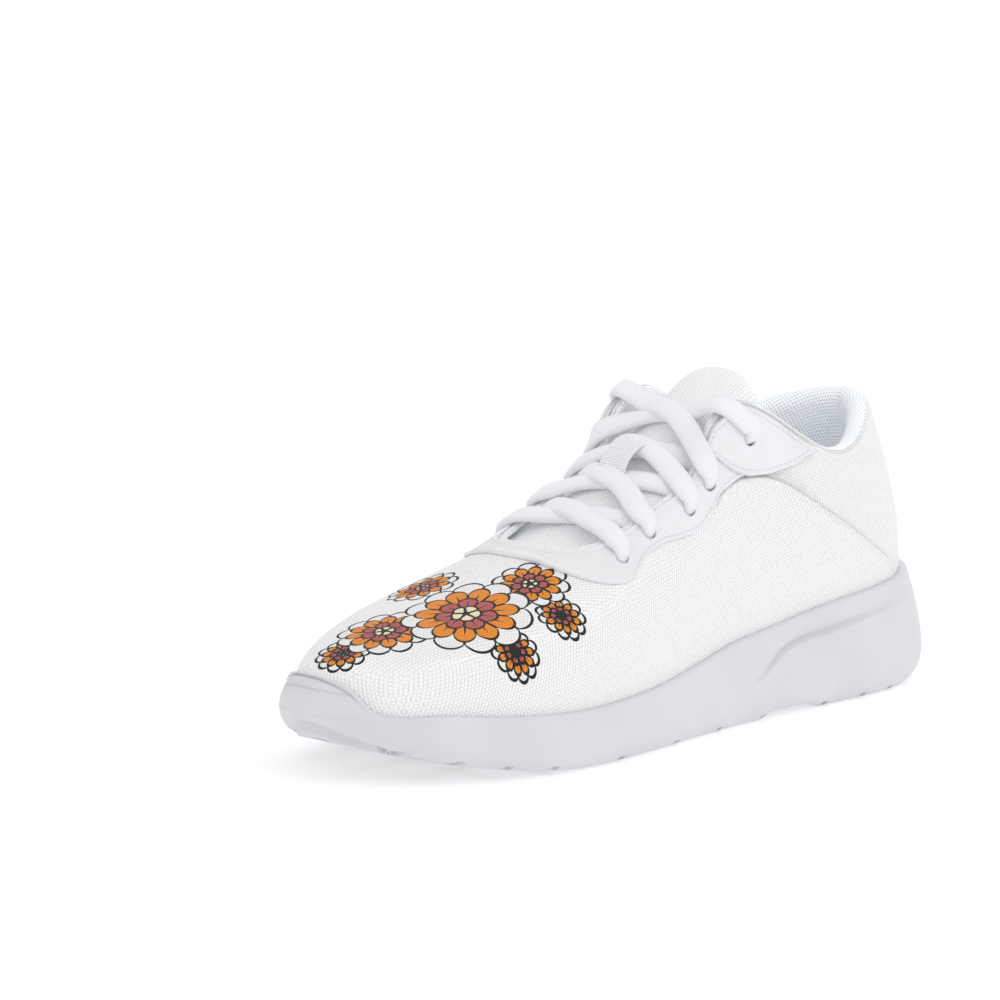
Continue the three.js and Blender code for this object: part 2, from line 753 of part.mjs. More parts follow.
// The webbing loop that holds the laces' crossing on the tongue.
const KEEPER_FROM = 0.51; // place along the tongue's rows
const KEEPER_TO = 0.56;
const KEEPER_REACH = 0.28; // half its width, as a share of the tongue's half width
const KEEPER_STRIPS = 4; // across it
function keeperSolid() {
  const sections = [KEEPER_FROM, KEEPER_TO].map((t) => {
    const layer = (depth) =>
      Array.from({ length: KEEPER_STRIPS + 1 }, (_, k) =>
        tonguePoint(t, ((2 * k) / KEEPER_STRIPS - 1) * KEEPER_REACH, -depth),
      );
    return [
      ...layer(2 * GAP + KEEPER_THICKNESS),
      ...layer(2 * GAP).reverse(),
    ];
  });
  return strapSolid(sections);
}

// The insole: a flat sheet on the footbed, inside the upper's wall.
const INSOLE_EDGE = 1.2; // clearance to the wall
function insoleSolid() {
  const edge = (height, tuck) =>
    ringAt((u) => {
      const inset = column("flare", u) + LIP + WALL + INSOLE_EDGE + tuck;
      return sidePoint(u, inset, column("bed", u) + height);
    });
  const round = INSOLE_THICKNESS / 4;
  const rings = [
    edge(GAP, 0),
    edge(GAP + INSOLE_THICKNESS - round, 0),
    edge(GAP + INSOLE_THICKNESS, round),
  ];
  const points = rings.flat();
  const faces = ringFaces(rings.length, COUNT, false);
  const sheet = (height) => (p) => bedAt(p.x) + height;
  faces.push(...cap(points, 0, 2, sheet(GAP), true));
  const topStart = (rings.length - 1) * COUNT;
  faces.push(...cap(points, topStart, 2, sheet(GAP + INSOLE_THICKNESS), false));
  return toSolid(geometryOf(points, faces));
}

// The lace: between two eyelet pairs it makes one crossing of two joined strands, and each strand runs
// from above its eyelet over the throat's rim and the tongue to the next pair on the other side.
const LACE_SECTION = [
  [-1, 0.35],
  [-0.6, 1],
  [0.6, 1],
  [1, 0.35],
  [1, -0.35],
  [0.6, -1],
  [-0.6, -1],
  [-1, -0.35],
]; // shares of half the lace's width and thickness
const LACE_STEPS = 10;
const LACE_DIVE = 0.56; // where a strand ends beside the rim, as a share of the tongue's half width
const DIVE_REACH = 0.72; // and how far it has come by then towards the next pair
const EYELET_CLEAR = 1.1; // over the eyestay and the rim
const LACE_CLEAR = 0.7; // over the tongue
const LACE_MEET = 0.25; // how far the two strands of a crossing run into each other
const KEEPER_PAIR = 2; // the crossing over the tongue's loop
const RIM_SHARE = 0.08; // where a strand crosses the rim, on the way to the next pair
const TOP_RIM_SHARE = 0.3; // and where it comes down to the top pair

// The tongue's place along its rows at a place along the shoe.
function tonguePlace(x) {
  let low = 0;
  let high = 1;
  for (let i = 0; i < 24; i++) {
    const mid = (low + high) / 2;
    if (tongueLine.getPoint(mid).x > x) low = mid;
    else high = mid;
  }
  return (low + high) / 2;
}

// The way up from the topline at u, across the rim.
function rimUp(u) {
  const along = rib(u + 0.1, 1).sub(rib(u - 0.1, 1));
  return along.cross(normal(u, 1)).normalize().multiplyScalar(-1);
}

// A strand's stops, each a place and the direction that its flat face looks in: over its eyelet, over the
// rim, over the tongue's middle and down beside the other rim, under which it would dive. The top pair has
// no flap above it, so there the strand goes on over the rim to the eyelet.
function strand(pair, side, layer) {
  const last = pair === EYELETS.length - 2;
  const half = LACE_THICKNESS / 2;
  const under = (last ? 2 : 1) * (OVERLAY_GAP + OVERLAY);
  const overEyelet = (at, sign) => {
    const [u, v] = EYELETS[at];
    return { at: eyelet(at, sign, under + EYELET_CLEAR + half), up: normal(sign * u, v) };
  };
  const overRim = (from, to, share, sign) => {
    const u = sign * THREE.MathUtils.lerp(EYELETS[from][0], EYELETS[to][0], share);
    const out = normal(u, 1);
    const crest = rimUp(u);
    const slant = out.clone().add(crest).normalize();
    const edge = over(u, OVERLAY_TOP, under).addScaledVector(slant, EYELET_CLEAR + half);
    const top = rib(u, 1)
      .addScaledVector(out, -WALL / 2)
      .addScaledVector(crest, WALL / 2 + column("pad", u) / 2 + EYELET_CLEAR + half);
    return [
      { at: edge, up: slant },
      { at: top, up: crest },
    ];
  };
  const overTongue = (x, w, lift) => {
    const t = tonguePlace(x);
    const up = tongueUp(t, w);
    return { at: tonguePoint(t, w, 0).addScaledVector(up, lift), up };
  };
  const start = overEyelet(pair, side);
  const far = overEyelet(pair + 1, -side);
  const loop = pair === KEEPER_PAIR ? KEEPER_THICKNESS + 5 * GAP : 0;
  const rest = LACE_CLEAR + half;
  const raise = rest + loop + layer * (LACE_THICKNESS - LACE_MEET);
  const stops = [
    start,
    ...overRim(pair, pair + 1, RIM_SHARE, side),
    overTongue((start.at.x + far.at.x) / 2, 0, raise),
    ...(last
      ? [...overRim(pair + 1, pair, TOP_RIM_SHARE, -side).reverse(), far]
      : [overTongue(THREE.MathUtils.lerp(start.at.x, far.at.x, DIVE_REACH), -side * LACE_DIVE, rest)]),
  ];
  return {
    path: new THREE.CatmullRomCurve3(stops.map(({ at }) => at)),
    facing: new THREE.CatmullRomCurve3(stops.map(({ up }) => up)),
  };
}

function strandSolid({ path, facing }) {
  const sections = Array.from({ length: LACE_STEPS + 1 }, (_, i) => {
    const t = i / LACE_STEPS;
    const along = path.getTangent(t);
    const across = along.clone().cross(facing.getPoint(t)).normalize();
    const up = across.clone().cross(along).normalize();
    return LACE_SECTION.map(([w, h]) =>
      path
        .getPoint(t)
        .addScaledVector(across, (w * LACE_WIDTH) / 2)
        .addScaledVector(up, (h * LACE_THICKNESS) / 2),
    );
  });
  return strapSolid(sections);
}

const crossing = (pair) =>
  strandSolid(strand(pair, -1, 0)).add(strandSolid(strand(pair, 1, 1)));

// Assembly

function meshOf(name, geometry, material) {
  const mesh = new THREE.Mesh(
    geometry,
    new THREE.MeshStandardMaterial({ metalness: 0, ...MATERIALS[material] }),
  );
  mesh.name = name;
  return mesh;
}

const without = (solid, cutters) =>
  cutters.reduce((left, cutter) => left.subtract(cutter), solid);
const holes = eyeletCutters();
const tab = (edge) =>
  overlay({ edge, inner: 2 * OVERLAY_GAP + OVERLAY, rows: 2 });

const shoe = new THREE.Group();
shoe.name = "mesh_running_shoe_left";
shoe.add(meshOf("sole", soleMesh(), "sole"));
shoe.add(meshOf("upper", toGeometry(without(upperSolid(), holes)), "mesh"));
const stay = overlay({
  edge: [...mirrored(STAY_EDGE).slice(0, -1), ...STAY_EDGE],
  inner: OVERLAY_GAP,
  rows: 2,
});
shoe.add(meshOf("eyestay", toGeometry(without(stay, holes)), "smooth"));
shoe.add(
  meshOf("lateral_tab", toGeometry(without(tab(TAB_EDGE), holes)), "smooth"),
);
shoe.add(
  meshOf(
    "medial_tab",
    toGeometry(without(tab(mirrored(TAB_EDGE)), holes)),
    "smooth",
  ),
);
shoe.add(meshOf("tongue", toGeometry(tongueSolid()), "mesh"));
shoe.add(meshOf("tongue_loop", toGeometry(keeperSolid()), "lace"));
shoe.add(meshOf("insole", toGeometry(insoleSolid()), "lining"));
for (let pair = 0; pair < EYELETS.length - 1; pair++)
  shoe.add(
    meshOf(`lace_crossing_${pair + 1}`, toGeometry(crossing(pair)), "lace"),
  );

export default shoe;
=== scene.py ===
# Looks of the low mesh running shoe, left foot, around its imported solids.
# Sizes are in millimetres in the solids' frame (+X toe, +Y outer side, +Z up), metres on the mesh.
import math
from functools import lru_cache

import bmesh
import bpy
from mathutils import Matrix, Vector


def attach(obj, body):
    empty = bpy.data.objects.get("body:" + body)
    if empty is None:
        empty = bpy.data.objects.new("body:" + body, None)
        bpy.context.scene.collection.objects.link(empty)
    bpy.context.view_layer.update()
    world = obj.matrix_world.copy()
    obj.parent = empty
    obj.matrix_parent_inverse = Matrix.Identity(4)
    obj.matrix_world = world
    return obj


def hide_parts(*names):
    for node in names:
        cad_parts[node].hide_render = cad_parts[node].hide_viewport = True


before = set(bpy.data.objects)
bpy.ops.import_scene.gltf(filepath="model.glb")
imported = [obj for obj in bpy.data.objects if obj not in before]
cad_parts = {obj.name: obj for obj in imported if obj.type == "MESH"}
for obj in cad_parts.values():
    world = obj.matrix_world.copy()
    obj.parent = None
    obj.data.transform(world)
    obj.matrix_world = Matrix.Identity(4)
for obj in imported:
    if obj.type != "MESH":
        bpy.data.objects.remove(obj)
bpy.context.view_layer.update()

MM = 0.001
ROOT = "root"

# Sizes of the last, the sole and the overlays, as the solids have them

LENGTH = 290
BALL_WIDTH = 107
SOLE_SIDE = 42
TOE_SPRING = 20
HEEL_BEVEL = 4
ARCH_LIFT = 1.6
SOLE_FLARE = 8
FOOTBED = 26
BULGE_HEIGHT = 10
EDGE_TUCK = 5.5
LIP = 2.8
STEP_DEPTH = 2.0
TREAD_DEPTH = 1.9
TREAD_GAP = 2.4
COLLAR_HEIGHT = 100
TOPLINE_WIDTH = 66
WALL = 2.2
COLLAR_PAD = 9
PANEL_STEP = 1.2
GAP = 0.35
EYELET_HOLE = 4.6
TONGUE_HEIGHT = 1.19 * COLLAR_HEIGHT
TONGUE_WIDTH = 46
TONGUE_THICKNESS = 5
INSOLE_THICKNESS = 4
INSOLE_EDGE = 1.2
LACE_WIDTH = 8.4
LACE_THICKNESS = 3.2

# One row for each rib of the last, from the toe tip to the back of the heel.
COLUMNS = "x out inn side bed mid flare topX topY topZ rise lean reach drop pad seam step crease dent"
STATIONS = """
1.000 -.150 -.150 .840 .95 .00  .15 .640 .00 .688 .25  .03 1.24 .27 0.0 .60 0.0 .80 1.0
0.997 -.030 -.260 .830 .94 .00  .15 .640 .14 .686 .25  .03 1.21 .27 0.0 .60 0.0 .80 1.0
0.984  .140 -.370 .765 .86 .00  .16 .640 .26 .684 .25  .03 1.13 .27 0.0 .60 0.0 .78 0.5
0.958  .365 -.540 .575 .76 .00  .20 .638 .37 .682 .26  .03 1.01 .26 0.0 .60 0.0 .70 0.0
0.900  .665 -.770 .560 .64 .00  .25 .632 .47 .682 .27  .02  .79 .25 0.0 .60 0.0 .65 0.0
0.820  .870 -.950 .510 .53 .00  .30 .619 .57 .688 .28  .01  .58 .22 0.0 .60 0.0 .60 0.0
0.730  .965 -1.01 .480 .46 .00  .32 .593 .65 .703 .30  .02  .44 .19 0.0 .60 0.0 .50 0.0
0.640  .940 -.945 .490 .50 .00  .32 .562 .69 .735 .32  .03  .35 .18 0.0 .60 0.0 .40 0.0
0.560  .880 -.825 .530 .58 .00  .34 .519 .72 .788 .33  .03  .26 .17 0.0 .62 0.0 .30 0.0
0.500  .820 -.735 .585 .66 .00  .36 .466 .73 .850 .34  .02  .19 .17 .00 .64 0.0 .20 0.0
0.460  .790 -.690 .640 .72 .00  .38 .436 .72 .935 .35  .01  .15 .19 .05 .66 0.1 .15 0.0
0.420  .763 -.658 .700 .78 .00  .40 .412 .71 1.050 .36 .01  .12 .23 .15 .68 0.6 .14 0.0
0.375  .740 -.640 .740 .84 .00  .42 .369 .73 1.098 .38 .01  .10 .25 .30 .68 1.0 .32 0.4
0.330  .729 -.654 .780 .89 .00  .44 .325 .81 1.045 .38 .02  .10 .25 .60 .69 1.0 .58 1.0
0.280  .722 -.675 .830 .94 .02  .47 .282 .95  .950 .37 .02  .08 .23 .85 .67 1.0 .64 1.0
0.220  .716 -.695 .880 .98 .04  .50 .232 1.00 .872 .34 .03  .08 .21 1.0 .58 1.0 .67 0.9
0.155  .700 -.695 .915 1.0 .045 .56 .184 .94  .874 .32 .05  .09 .21 1.0 .37 0.9 .73 0.5
0.090  .626 -.620 .945 1.0 .035 .68 .134 .72  .930 .33 .06  .12 .22 1.0 .18 0.4 .76 0.2
0.032  .420 -.410 .980 1.0 .01  .88 .092 .40  .985 .35 .06  .12 .24 1.0 .10 0.0 .78 0.0
0.000 -.010 -.010 1.00 1.0 .00  1.0 .069 .00 1.000 .36 .06  .10 .24 1.0 .10 0.0 .80 0.0
"""
ROWS = [dict(zip(COLUMNS.split(), map(float, line.split()))) for line in STATIONS.strip().splitlines()]


def clamp(value, low=0.0, high=1.0):
    return min(max(value, low), high)


def lerp(a, b, t):
    return a + (b - a) * t


def smooth(t):
    s = clamp(t)
    return s * s * (3 - 2 * s)


def cubic(a, b, p, q, t):
    """A curve from a to b, whose slopes at its ends are p and q, at t from 0 to 1."""
    return a + (p + ((b - a) * 3 - p * 2 - q + ((a - b) * 2 + p + q) * t) * t) * t


def bump(distance, width):
    """A soft hill, 1 at distance 0, gone past about two widths."""
    return math.exp(-((distance / width) ** 2))


def in_millimetres(row, side):
    half = BALL_WIDTH / 2
    return dict(
        row, x=(row["x"] - 0.5) * LENGTH, y=(row["out"] if side > 0 else row["inn"]) * half,
        side=row["side"] * SOLE_SIDE, bed=row["bed"] * FOOTBED, flare=row["flare"] * SOLE_FLARE,
        topX=(row["topX"] - 0.5) * LENGTH, topY=side * row["topY"] * TOPLINE_WIDTH / 2,
        topZ=(row["topZ"] + (0 if side > 0 else row["mid"])) * COLLAR_HEIGHT,
        rise=row["rise"] * COLLAR_HEIGHT, lean=row["lean"] * half, reach=row["reach"] * half,
        drop=row["drop"] * COLLAR_HEIGHT, pad=row["pad"] * (COLLAR_PAD - WALL),
        step=row["step"] * PANEL_STEP, dent=row["dent"] * STEP_DEPTH,
    )


RING = [in_millimetres(row, 1) for row in ROWS] + [in_millimetres(row, -1) for row in ROWS[-2:0:-1]]
TURN = len(RING)  # ring places in one turn round the shoe
KNOTS = [0.0]
for here, ahead in zip(RING, RING[1:] + RING[:1]):
    KNOTS.append(KNOTS[-1] + math.hypot(ahead["x"] - here["x"], ahead["y"] - here["y"]))


@lru_cache(maxsize=None)
def column(name, u):
    """A column at place u of the ring, where whole numbers are rows: a cubic through the rows."""
    at = u % TURN
    i = int(math.floor(at))

    def value(k):
        return RING[k % TURN][name]

    def knot(k):
        return KNOTS[k % TURN] + (k // TURN) * KNOTS[TURN]

    def slope(k):
        return (value(k + 1) - value(k - 1)) / (knot(k + 1) - knot(k - 1))

    span = knot(i + 1) - knot(i)
    return cubic(value(i), value(i + 1), slope(i) * span, slope(i + 1) * span, at - i)


@lru_cache(maxsize=None)
def outline(u):
    """The sole's outline at u, with its outward direction in plan."""
    e = 0.02
    x, y = (column(name, u + e) - column(name, u - e) for name in "xy")
    along = Vector((x, y, 0)).normalized()
    return Vector((column("x", u), column("y", u), 0)), Vector((along.y, -along.x, 0))


def at_height(point, z):
    return Vector((point.x, point.y, z))


@lru_cache(maxsize=None)
def rib_curve(u):
    point, outward = outline(u)
    foot = at_height(point - outward * (column("flare", u) + LIP), column("bed", u) + GAP)
    head = Vector((column("topX", u), column("topY", u), column("topZ", u)))
    lower = at_height(foot + outward * column("lean", u), foot.z + column("rise", u))
    upper = at_height(head + outward * column("reach", u), head.z - column("drop", u))
    return foot, lower, upper, head


def rib(u, v):
    """The last's surface: from the footbed (v = 0) up rib u to the topline (v = 1)."""
    foot, lower, upper, head = rib_curve(u)
    w = 1 - v
    return foot * w**3 + lower * (3 * w * w * v) + upper * (3 * w * v * v) + head * v**3


@lru_cache(maxsize=None)
def normal(u, v):
    e = 0.02
    around = rib(u + e, v) - rib(u - e, v)
    up = rib(u, min(v + e, 1)) - rib(u, max(v - e, 0))
    return around.cross(up).normalized()


@lru_cache(maxsize=None)
def lip(u):
    """The place on rib u of the sole's top edge."""
    low, high = 0.0, 1.0
    for _ in range(24):
        mid = (low + high) / 2
        if rib(u, mid).z < column("side", u):
            low = mid
        else:
            high = mid
    return (low + high) / 2


SEAM_FADE = 0.012  # how quickly the front panel's edge ends, as a share of the rib


def seam_at(u):
    return max(column("seam", u), lip(u) + 0.05)


def face(u, v, offset=0.0):
    proud = column("step", u) * smooth((seam_at(u) - v) / SEAM_FADE + 0.5)
    return rib(u, v) + normal(u, v) * (proud + offset)


def over(u, v, offset):
    return rib(u, v) + normal(u, v) * (max(0.0, column("step", u)) + offset)


PAD_START, PAD_FULL = 0.4, 0.85  # places up the rib where the collar's padding starts and is full


def wall(u, v):
    return WALL + column("pad", u) * smooth((v - PAD_START) / (PAD_FULL - PAD_START))


def through(table, at):
    """A smooth value at place `at` of a table of (place, value) rows."""
    places = [row[0] for row in table]
    i = max(0, min(len(table) - 2, sum(p <= at for p in places) - 1))

    def slope(k):
        lo, hi = max(k - 1, 0), min(k + 1, len(table) - 1)
        return (table[hi][1] - table[lo][1]) / (places[hi] - places[lo])

    span = places[i + 1] - places[i]
    t = clamp((at - places[i]) / span)
    return cubic(table[i][1], table[i + 1][1], slope(i) * span, slope(i + 1) * span, t)


def curve_points(stops, step):
    """A smooth path through stops of vectors, with a point at every step of its length.

    Each stop is a place followed by other vectors, which are carried along with it.
    """
    last = len(stops) - 1
    run = [0.0]
    for a, b in zip(stops, stops[1:]):
        run.append(run[-1] + (b[0] - a[0]).length)

    def slope(i, n):
        lo, hi = max(i - 1, 0), min(i + 1, last)
        return (stops[hi][n] - stops[lo][n]) / (run[hi] - run[lo])

    def between(i, t, n):
        span = run[i + 1] - run[i]
        return cubic(stops[i][n], stops[i + 1][n], slope(i, n) * span, slope(i + 1, n) * span, t)

    path = []
    for i in range(last):
        count = max(2, round((run[i + 1] - run[i]) / step))
        path += [[between(i, k / count, n) for n in range(len(stops[0]))] for k in range(count)]
    return path + [list(stops[last])]


# Making pieces

COLLECTION = bpy.context.scene.collection


def placed(name, bm):
    """A new object with the faces of a bmesh."""
    mesh = bpy.data.meshes.new(name)
    bm.to_mesh(mesh)
    bm.free()
    made = bpy.data.objects.new(name, mesh)
    COLLECTION.objects.link(made)
    return made


def piece(name, bm, materials, nodes=()):
    """A finished piece from a bmesh, riding on the shoe and standing for the given nodes."""
    made = placed(name, bm)
    for material in materials:
        made.data.materials.append(material)
    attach(made, ROOT)
    if nodes:
        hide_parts(*nodes)
    return made


def grid(across, along, place, cloth=None, group_at=None, marks=None):
    """A grid whose corner (i, k) is moved to place(i, k), with the corners that meet welded.

    cloth(i, k) gives the corner's place on the flat cloth, group_at(i, k) its material's number, and
    each of marks is a name with a function that gives the corner's value under it.
    """
    bm = bmesh.new()
    bmesh.ops.create_grid(bm, x_segments=across, y_segments=along, size=1)
    layer = bm.loops.layers.uv.new("cloth")
    layers = {name: bm.verts.layers.float.new(name) for name in marks or {}}
    step = {}
    for vert in bm.verts:
        step[vert] = round((vert.co.x + 1) / 2 * across), round((vert.co.y + 1) / 2 * along)
    for quad in bm.faces:
        quad.smooth = True
        for loop in quad.loops:
            if cloth:
                loop[layer].uv = cloth(*step[loop.vert])
        if group_at:
            i, k = (min(steps) for steps in zip(*(step[vert] for vert in quad.verts)))
            quad.material_index = group_at(i + 0.5, k + 0.5)
    for name, marked in layers.items():
        for vert, (i, k) in step.items():
            vert[marked] = marks[name](i, k)
    for vert, (i, k) in step.items():
        vert.co = place(i, k) * MM
    bmesh.ops.remove_doubles(bm, verts=bm.verts, dist=1e-7)
    bmesh.ops.dissolve_degenerate(bm, edges=bm.edges, dist=1e-7)
    return bm


def circle(k, steps):
    """The cosine and the sine of a place on a circle."""
    angle = 2 * math.pi * k / steps
    return math.cos(angle), math.sin(angle)


def fuller(share, power):
    """A share from -1 to 1 moved outwards, which squares off a ring, the more so the lower the power."""
    return math.copysign(abs(share) ** power, share)


def close_ends(bm):
    """Caps the open ends of a tube with small fans."""
    rim = [edge for edge in bm.edges if edge.is_boundary]
    if rim:
        filled = bmesh.ops.holes_fill(bm, edges=rim, sides=0)
        bmesh.ops.triangulate(bm, faces=filled["faces"])
    bmesh.ops.recalc_face_normals(bm, faces=bm.faces)
    return bm


def cut(made, cutters):
    """Takes the cutters' volume out of a piece for good."""
    modifier = made.modifiers.new("cut", "BOOLEAN")
    modifier.operation = "DIFFERENCE"
    modifier.solver = "EXACT"
    modifier.use_self = True
    modifier.object = cutters
    depsgraph = bpy.context.evaluated_depsgraph_get()
    cut_mesh = bpy.data.meshes.new_from_object(made.evaluated_get(depsgraph))
    made.modifiers.clear()
    old = made.data
    made.data = cut_mesh
    cut_mesh.name = made.name
    bpy.data.meshes.remove(old)


def drop(helper):
    """Takes a helper object away after its use."""
    mesh = helper.data
    bpy.data.objects.remove(helper)
    bpy.data.meshes.remove(mesh)


# Materials


def rgb(red, green, blue):
    """A colour given as it shows on a screen, from 0 to 255."""

    def linear(c):
        c /= 255
        return c / 12.92 if c <= 0.04045 else ((c + 0.055) / 1.055) ** 2.4

    return (linear(red), linear(green), linear(blue), 1.0)


def operation(name, swapped=False):
    def work(value, other):
        pair = (other, value) if swapped else (value, other)
        return value.nodes.math(name, *pair)

    return work


class Value:
    """A value in a tree of nodes: arithmetic on it adds the nodes that work out the result."""

    __add__ = __radd__ = operation("ADD")
    __mul__ = __rmul__ = operation("MULTIPLY")
    __sub__, __rsub__ = operation("SUBTRACT"), operation("SUBTRACT", True)
    __truediv__, __rtruediv__ = operation("DIVIDE"), operation("DIVIDE", True)
    __pow__ = operation("POWER")
    __lt__, __gt__ = operation("LESS_THAN"), operation("GREATER_THAN")

    def __init__(self, nodes, socket):
        self.nodes, self.socket = nodes, socket

    def __abs__(self):
        return self.nodes.math("ABSOLUTE", self)


class Nodes:
    """Adds nodes to a tree and joins them."""

    def __init__(self, tree):
        self.tree = tree

    def put(self, value, socket):
        if isinstance(value, Value):
            self.tree.links.new(value.socket, socket)
        else:
            socket.default_value = value

    def add(self, kind, inputs=(), output=0, **settings):
        """Adds a node with its settings and its inputs by name or number, and gives one output."""
        node = self.tree.nodes.new(kind)
        for name, value in settings.items():
            setattr(node, name, value)
        for name, value in dict(inputs).items():
            self.put(value, node.inputs[name])
        return Value(self, node.outputs[output])

    def all_outputs(self, value):
        return [Value(self, socket) for socket in value.socket.node.outputs]

    def math(self, kind, *values):
        return self.add("ShaderNodeMath", enumerate(values), operation=kind)

    def sine(self, value):
        return self.math("SINE", value)

    def vector(self, kind, *values):
        output = "Value" if kind in ("DOT_PRODUCT", "LENGTH") else "Vector"
        return self.add("ShaderNodeVectorMath", enumerate(values), output, operation=kind)

    def scale(self, vector, factor):
        return self.add("ShaderNodeVectorMath", {0: vector, "Scale": factor}, operation="SCALE")

    def parts(self, vector):
        return self.all_outputs(self.add("ShaderNodeSeparateXYZ", {0: vector}))

    def span(self, value, low, high, start=0.0, end=1.0):
        """A value that runs softly from start at low to end at high."""
        names = ("Value", "From Min", "From Max", "To Min", "To Max")
        inputs = zip(names, (value, low, high, start, end))
        return self.add("ShaderNodeMapRange", inputs, "Result", interpolation_type="SMOOTHSTEP")

    def mix(self, factor, first, second, blend="MIX"):
        inputs = {0: factor, 6: first, 7: second}
        return self.add("ShaderNodeMix", inputs, 2, data_type="RGBA", blend_type=blend)

    def noise(self, vector, scale, detail=2.0, output="Fac"):
        inputs = {"Vector": vector, "Scale": scale, "Detail": detail}
        return self.add("ShaderNodeTexNoise", inputs, output)

    def group(self, tree, *values):
        return self.add("ShaderNodeGroup", enumerate(values), node_tree=tree)


FLOAT, VECTOR, COLOR = "NodeSocketFloat", "NodeSocketVector", "NodeSocketColor"


def new_group(name, inputs, output, kind):
    """An empty group with its nodes, the values that it is given and the socket of its one output."""
    tree = bpy.data.node_groups.new(name, "ShaderNodeTree")
    for given_name, given_kind in inputs:
        tree.interface.new_socket(given_name, in_out="INPUT", socket_type=given_kind)
    tree.interface.new_socket(output, in_out="OUTPUT", socket_type=kind)
    n = Nodes(tree)
    given = n.all_outputs(n.add("NodeGroupInput"))[: len(inputs)]
    return tree, n, given, tree.nodes.new("NodeGroupOutput").inputs[0]


DASH_RATE = 0.8  # dashes along a column for each column's width
COLUMN_DRIFT = 1.2  # mm by which the columns wander
PLANE_SHARPNESS = 5.0  # how sharply one plane's columns give way to the next plane's


def knit_group():
    """Short dashes in upright columns on the three main planes, blended by the way the surface faces."""
    inputs = [("Position", VECTOR), ("Facing", VECTOR), ("Cell", FLOAT), ("Slant", FLOAT)]
    tree, n, (position, facing, cell, slant), out = new_group("knit_cells", inputs, "Height", FLOAT)
    drift = n.scale(n.noise(position, 60.0, 1.0, "Color"), COLUMN_DRIFT * MM)
    x, y, z = n.parts(n.scale(n.vector("ADD", position, drift), 1 / MM / cell))
    nx, ny, nz = (abs(part) ** PLANE_SHARPNESS for part in n.parts(facing))
    cosine, sine = n.math("COSINE", slant), n.sine(slant)

    def dashes(a, b):
        turned_a = a * cosine + b * sine
        turned_b = b * cosine - a * sine
        up = n.math("FRACT", turned_b * DASH_RATE + n.math("FLOOR", turned_a) * 0.5)
        across = n.sine(n.math("FRACT", turned_a) * math.pi)
        return across * n.sine(up * math.pi) ** 0.6

    height = dashes(y, z) * nx + dashes(x, z) * ny + dashes(y, x) * nz
    n.put(height / (nx + ny + nz), out)
    return tree


INK = rgb(22, 18, 18)
ORANGE = rgb(243, 146, 30)
ROSE = rgb(190, 92, 92)
CREAM = rgb(250, 240, 196)
WHITE = rgb(250, 249, 247)
OUTLINE = 1.0  # width of a drawn line, mm
# Layers of a bloom from the outside in: reach, depth of its scallops, petals, half turn, paint, streak.
PETALS = [
    (1.0, 0.16, 11, 0.0, WHITE, 0.0),
    (0.8, 0.26, 11, 1.57, ORANGE, 0.09),
    (0.5, 0.3, 7, 0.4, ROSE, 0.08),
    (0.25, 0.2, 5, 0.0, CREAM, 0.0),
]


def flower_group():
    """A round bloom with outlined petals in four layers, drawn at a place on a flat plan."""
    names = ("Across", "Up", "Middle Across", "Middle Up", "Radius", "Turn")
    inputs = [(name, FLOAT) for name in names] + [("Under", COLOR)]
    tree, n, given, out = new_group("bloom", inputs, "Color", COLOR)
    across, up, middle_across, middle_up, radius, turn, color = given
    dx, dy = across - middle_across, up - middle_up
    r = (dx * dx + dy * dy) ** 0.5 / radius
    angle = n.math("ARCTAN2", dy, dx) + turn
    line = OUTLINE / radius
    for reach, depth, petals, shift, paint, streak in PETALS:
        swing = angle * (petals / 2) + shift
        wave, valley = abs(n.math("COSINE", swing)), abs(n.sine(swing))
        edge = wave**0.6 * (reach * depth) + reach * (1 - depth)
        body = r < edge - line
        fold = wave * r * (2 / petals) > line * 0.5
        vein = valley * r * (2 / petals) > (edge * 0.8 - r) * streak
        color = n.mix(r < edge, color, n.mix(body * fold * vein, INK, paint))
    n.put(color, out)
    return tree


KNIT = knit_group()
BLOOM = flower_group()


class Surface(Nodes):
    """The nodes of a new material, which start from its one shader."""

    def __init__(self, name, **values):
        self.material = bpy.data.materials.new(name)
        self.material.use_nodes = True
        super().__init__(self.material.node_tree)
        self.shade(**values)

    def shade(self, **values):
        """Sets the shader's inputs, whose names have _ here for a blank."""
        shader = self.tree.nodes["Principled BSDF"]
        for name, value in values.items():
            self.put(value, shader.inputs[name.replace("_", " ")])

    def relief(self, height, depth, strength):
        """Raises the surface by height times depth, in millimetres."""
        inputs = {"Strength": strength, "Distance": depth * MM, "Height": height}
        self.shade(Normal=self.add("ShaderNodeBump", inputs, "Normal"))

    def position(self):
        return self.add("ShaderNodeTexCoord", output="Object")

    def cloth(self):
        return self.parts(self.add("ShaderNodeUVMap", output="UV", uv_map="cloth"))

    def mark(self, name):
        return self.add("ShaderNodeAttribute", output="Fac", attribute_name=name)


# Where the print lies over the toes: its middle, the way the vamp faces there and its level direction.
PRINT_MIDDLE = Vector((93, 13, 49))
PRINT_OUT = Vector((0.27, 0.17, 0.95)).normalized()
PRINT_LEVEL = Vector((-0.7, 0.71, 0.07))
# Blooms of the print: place across and up from its middle, radius and turn, in millimetres and radians.
BLOOMS = [
    (-36, -14, 10, 0.3),
    (38, 6, 9, 0.9),
    (22, -14, 9, 0.5),
    (-9, 36, 13, 1.2),
    (28, 22, 14, 0.1),
    (-22, -2, 17, 0.0),
    (6, 5, 23, 0.2),
]


